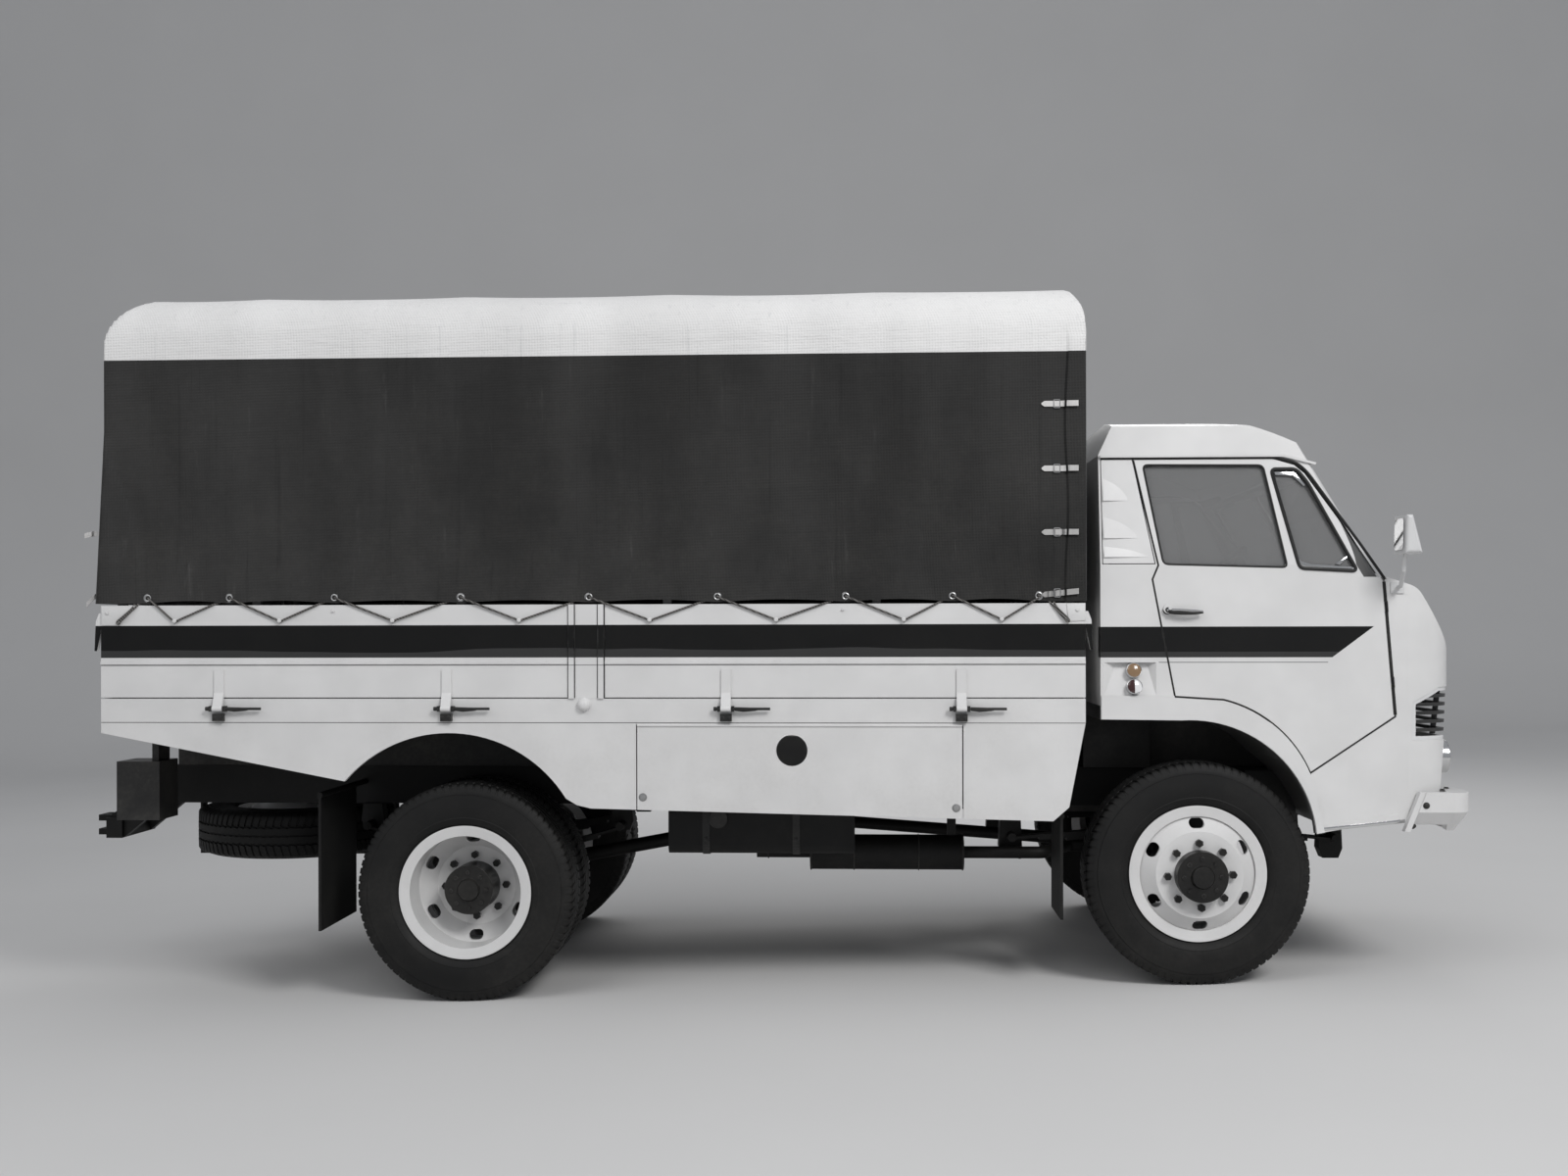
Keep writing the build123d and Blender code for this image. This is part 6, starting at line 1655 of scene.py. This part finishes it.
# %% Dials
DIAL_X = 3.7995
DIAL_Z = 1.690
DIALS = ((0.400, 0.046), (0.520, 0.056), (0.640, 0.046))
BOSS = ((0, 0.018), (0.020, 0.016), (0.034, 0.010), (0.036, 0.0))
dials = bmesh.new()
faces = bmesh.new()
for y, reach in DIALS:
    ring_at(dials, (DIAL_X, y, DIAL_Z), (-1, 0, 0), reach, 0.0045)
    lathe(faces, ((0, 0.002), (reach * 0.96, 0.002), (reach, 0)), (DIAL_X, y, DIAL_Z), (-1, 0, 0), 32)
    needle = [(DIAL_X - 0.0025, y, DIAL_Z), (DIAL_X - 0.0025, y + reach * 0.5, DIAL_Z + reach * 0.6)]
    tube(dials, needle, 0.0012, 6)
lathe(faces, BOSS, (3.5705, 0.520, 1.878), (-0.72, 0, 0.69), 28)
piece("dial_rings", dials, chrome)
piece("dial_faces", faces, trim_plastic)

# %% [markdown]
# Underneath, the springs are clamped to the axles by U-bolts, straps hold the tank, the silencer has
# rolled ends, and splash panels stand before and behind the front wheels. These show between the
# wheels, dark against dark, by their outlines.

# %% Springs, tank, silencer and splash panels
# X of each axle's hub and height of its spring
SPRINGS = ((0.0, 0.548), (3.1735, 0.640))
SPRING_SIDES = (0.418, 0.502)
U_BOLT_STEPS = (-0.034, 0.034)
STRAP_PLACES = (1.030, 1.430)
TANK_STRAP = ((-0.568, 0.631), (-0.902, 0.631), (-0.902, 0.848), (-0.568, 0.848))
STRAP_HALF_THICKNESS = 0.0025
SILENCER_Y = -0.485
SILENCER_Z = 0.589
# X, radius and wire of each band on the silencer and its pipe
BANDS = ((1.500, 0.081, 0.0045), (2.204, 0.081, 0.0045), (1.300, 0.030, 0.003), (1.700, 0.0825, 0.003),
         (2.000, 0.0825, 0.003))
FILLER = ((0.026, 0.002), (0.032, 0.002), (0.040, 0.006), (0.041, 0.018), (0, 0.020))
# Rear and front X, Y, lowest and highest Z of each splash panel
SPLASH_PANELS = ((2.765, 3.070, 0.472, 0.985, 1.236), (3.500, 3.730, 0.506, 0.735, 0.975))
clamps = bmesh.new()
for hub_x, seat in SPRINGS:
    foot, top = seat - 0.020, seat + 0.082
    for s, hand in SIDES:
        inner, outer = (s * y for y in SPRING_SIDES)
        for x in (hub_x + step for step in U_BOLT_STEPS):
            path = [(x, inner, foot), (x, inner, top), (x, outer, top), (x, outer, foot)]
            tube(clamps, rounded(path, 0.02, 5), 0.0075, 10)
            for y in (inner, outer):
                bolt(clamps, (x, y, seat - 0.012), (0, 0, -1), 0.012, 0.012)
for x in STRAP_PLACES:
    strap = rounded([(x, y, z) for y, z in TANK_STRAP], 0.042, 6, closed=True)
    for first, second in zip(strap, strap[1:] + strap[:1]):
        out = Vector((0, (first - second).z, (second - first).y)).normalized() * STRAP_HALF_THICKNESS
        slab(clamps, (first - out, second - out, second + out, first + out), (0.032, 0, 0))
    bolt(clamps, (x + 0.016, -0.905, 0.70), (0, -1, 0), 0.008, 0.010)
for x, radius, wire in BANDS:
    ring_at(clamps, (x, SILENCER_Y, SILENCER_Z), (1, 0, 0), radius, wire)
lathe(clamps, FILLER, (1.10, -0.9005, 0.79), (0, -1, 0), 28)
for s, hand in SIDES:
    for x0, x1, y, z0, z1 in SPLASH_PANELS:
        brick(clamps, (x0, s * y - 0.002, z0), (x1, s * y + 0.002, z1), 0.0015)
piece("clamps_and_straps", clamps, black_steel)

# %% [markdown]
# Behind, each lamp box has three red lenses in thin rings, and a blank plate hangs between the lamps.

# %% Tail lamps and plate
TAIL_Y = 0.750
TAIL_Z = (0.832, 0.901, 0.970)
TAIL_FACE_X = -1.6565
PLATE = ((-1.6660, -0.560, 0.860), (-1.6620, -0.300, 0.965))
tails = bmesh.new()
tail_rings = bmesh.new()
for s, hand in SIDES:
    for z in TAIL_Z:
        lathe(tails, dome(0.026, 0.0015, 0.006, 8), (TAIL_FACE_X, s * TAIL_Y, z), (-1, 0, 0), 28)
        ring_at(tail_rings, (TAIL_FACE_X + 0.0005, s * TAIL_Y, z), (-1, 0, 0), 0.0275, 0.0022)
piece("tail_lenses", tails, red_lens)
piece("tail_rings", tail_rings, zinc)
plate = bmesh.new()
brick(plate, *PLATE, 0.0012)
for y in (-0.54, -0.32):
    bolt(plate, (-1.6662, y, 0.912), (-1, 0, 0), 0.005, 0.004)
piece("blank_plate", plate, bed_paint)

# %% [markdown]
# A pale floor that curves up behind the truck gives an even background and keeps the shadow under the
# wheels. It is one strip with a quarter circle between floor and wall, so no line shows where they
# meet.

# %% Floor
FLOOR_HALF = 60
WALL_FROM = 13
SWEEP_RADIUS = 5
SWEEP_STEPS = 12
WALL_TOP = 16
sweep = [(WALL_FROM + SWEEP_RADIUS * sin(turn), SWEEP_RADIUS * (1 - cos(turn)))
         for turn in (i * pi / 2 / SWEEP_STEPS for i in range(1, SWEEP_STEPS + 1))]
profile = [(-FLOOR_HALF, 0), (WALL_FROM, 0)] + sweep + [(WALL_FROM + SWEEP_RADIUS, WALL_TOP)]
floor_mesh = bmesh.new()
left, right = ([floor_mesh.verts.new((x, y, z)) for y, z in profile] for x in (-FLOOR_HALF, FLOOR_HALF))
for i in range(len(profile) - 1):
    floor_mesh.faces.new((left[i], left[i + 1], right[i + 1], right[i])).smooth = True
floor_data = bpy.data.meshes.new("floor")
floor_mesh.to_mesh(floor_data)
floor = bpy.data.objects.new("floor", floor_data)
bpy.context.scene.collection.objects.link(floor)
floor_paint, tree, shader = finish("studio_floor", specular=0.1, Roughness=0.9)
uneven = mixed(tree, cloudy(tree, own_place(tree), 0.6, 5.0), shade(0.60, 0.01), shade(0.64, 0.01))
tree.links.new(uneven, shader.inputs["Base Color"])
floor.data.materials.append(floor_paint)

# %% [markdown]
# The main light is a broad lamp from the front right, like a soft sun. A wide one above fills the
# sides, one behind lifts the roof's edge, and the rest comes from the world. They are kept low enough
# that the pale paint doesn't clip, so its colour stays as written.

# %% Lights
SKY_TINT = (0.92, 0.95, 1.0, 1)
SKY_STRENGTH = 0.42
world = bpy.data.worlds.new("studio")
bpy.context.scene.world = world
world.use_nodes = True
background = world.node_tree.nodes["Background"]
background.inputs["Color"].default_value = SKY_TINT
background.inputs["Strength"].default_value = SKY_STRENGTH


def lamp(name, place, aim, size, power):
    """A rectangular area lamp that faces a point."""
    light = bpy.data.lights.new(name, "AREA")
    light.shape = "RECTANGLE"
    light.size, light.size_y = size
    light.energy = power
    made = bpy.data.objects.new(name, light)
    bpy.context.scene.collection.objects.link(made)
    made.location = place
    made.rotation_mode = "QUATERNION"
    made.rotation_quaternion = (Vector(aim) - Vector(place)).to_track_quat("-Z", "Y")
    print(name, power, "W")


lamp("sun_lamp", (6.0, -9.0, 8.5), (0, 0, 1.2), (3.5, 3.5), 760)
lamp("sky_lamp", (-5.0, -7.0, 9.0), (0, 0, 1.4), (8, 6), 260)
lamp("back_lamp", (1.0, 7.0, 6.0), (0, 0, 1.6), (7, 4), 200)
bpy.context.scene.view_settings.view_transform = "Standard"
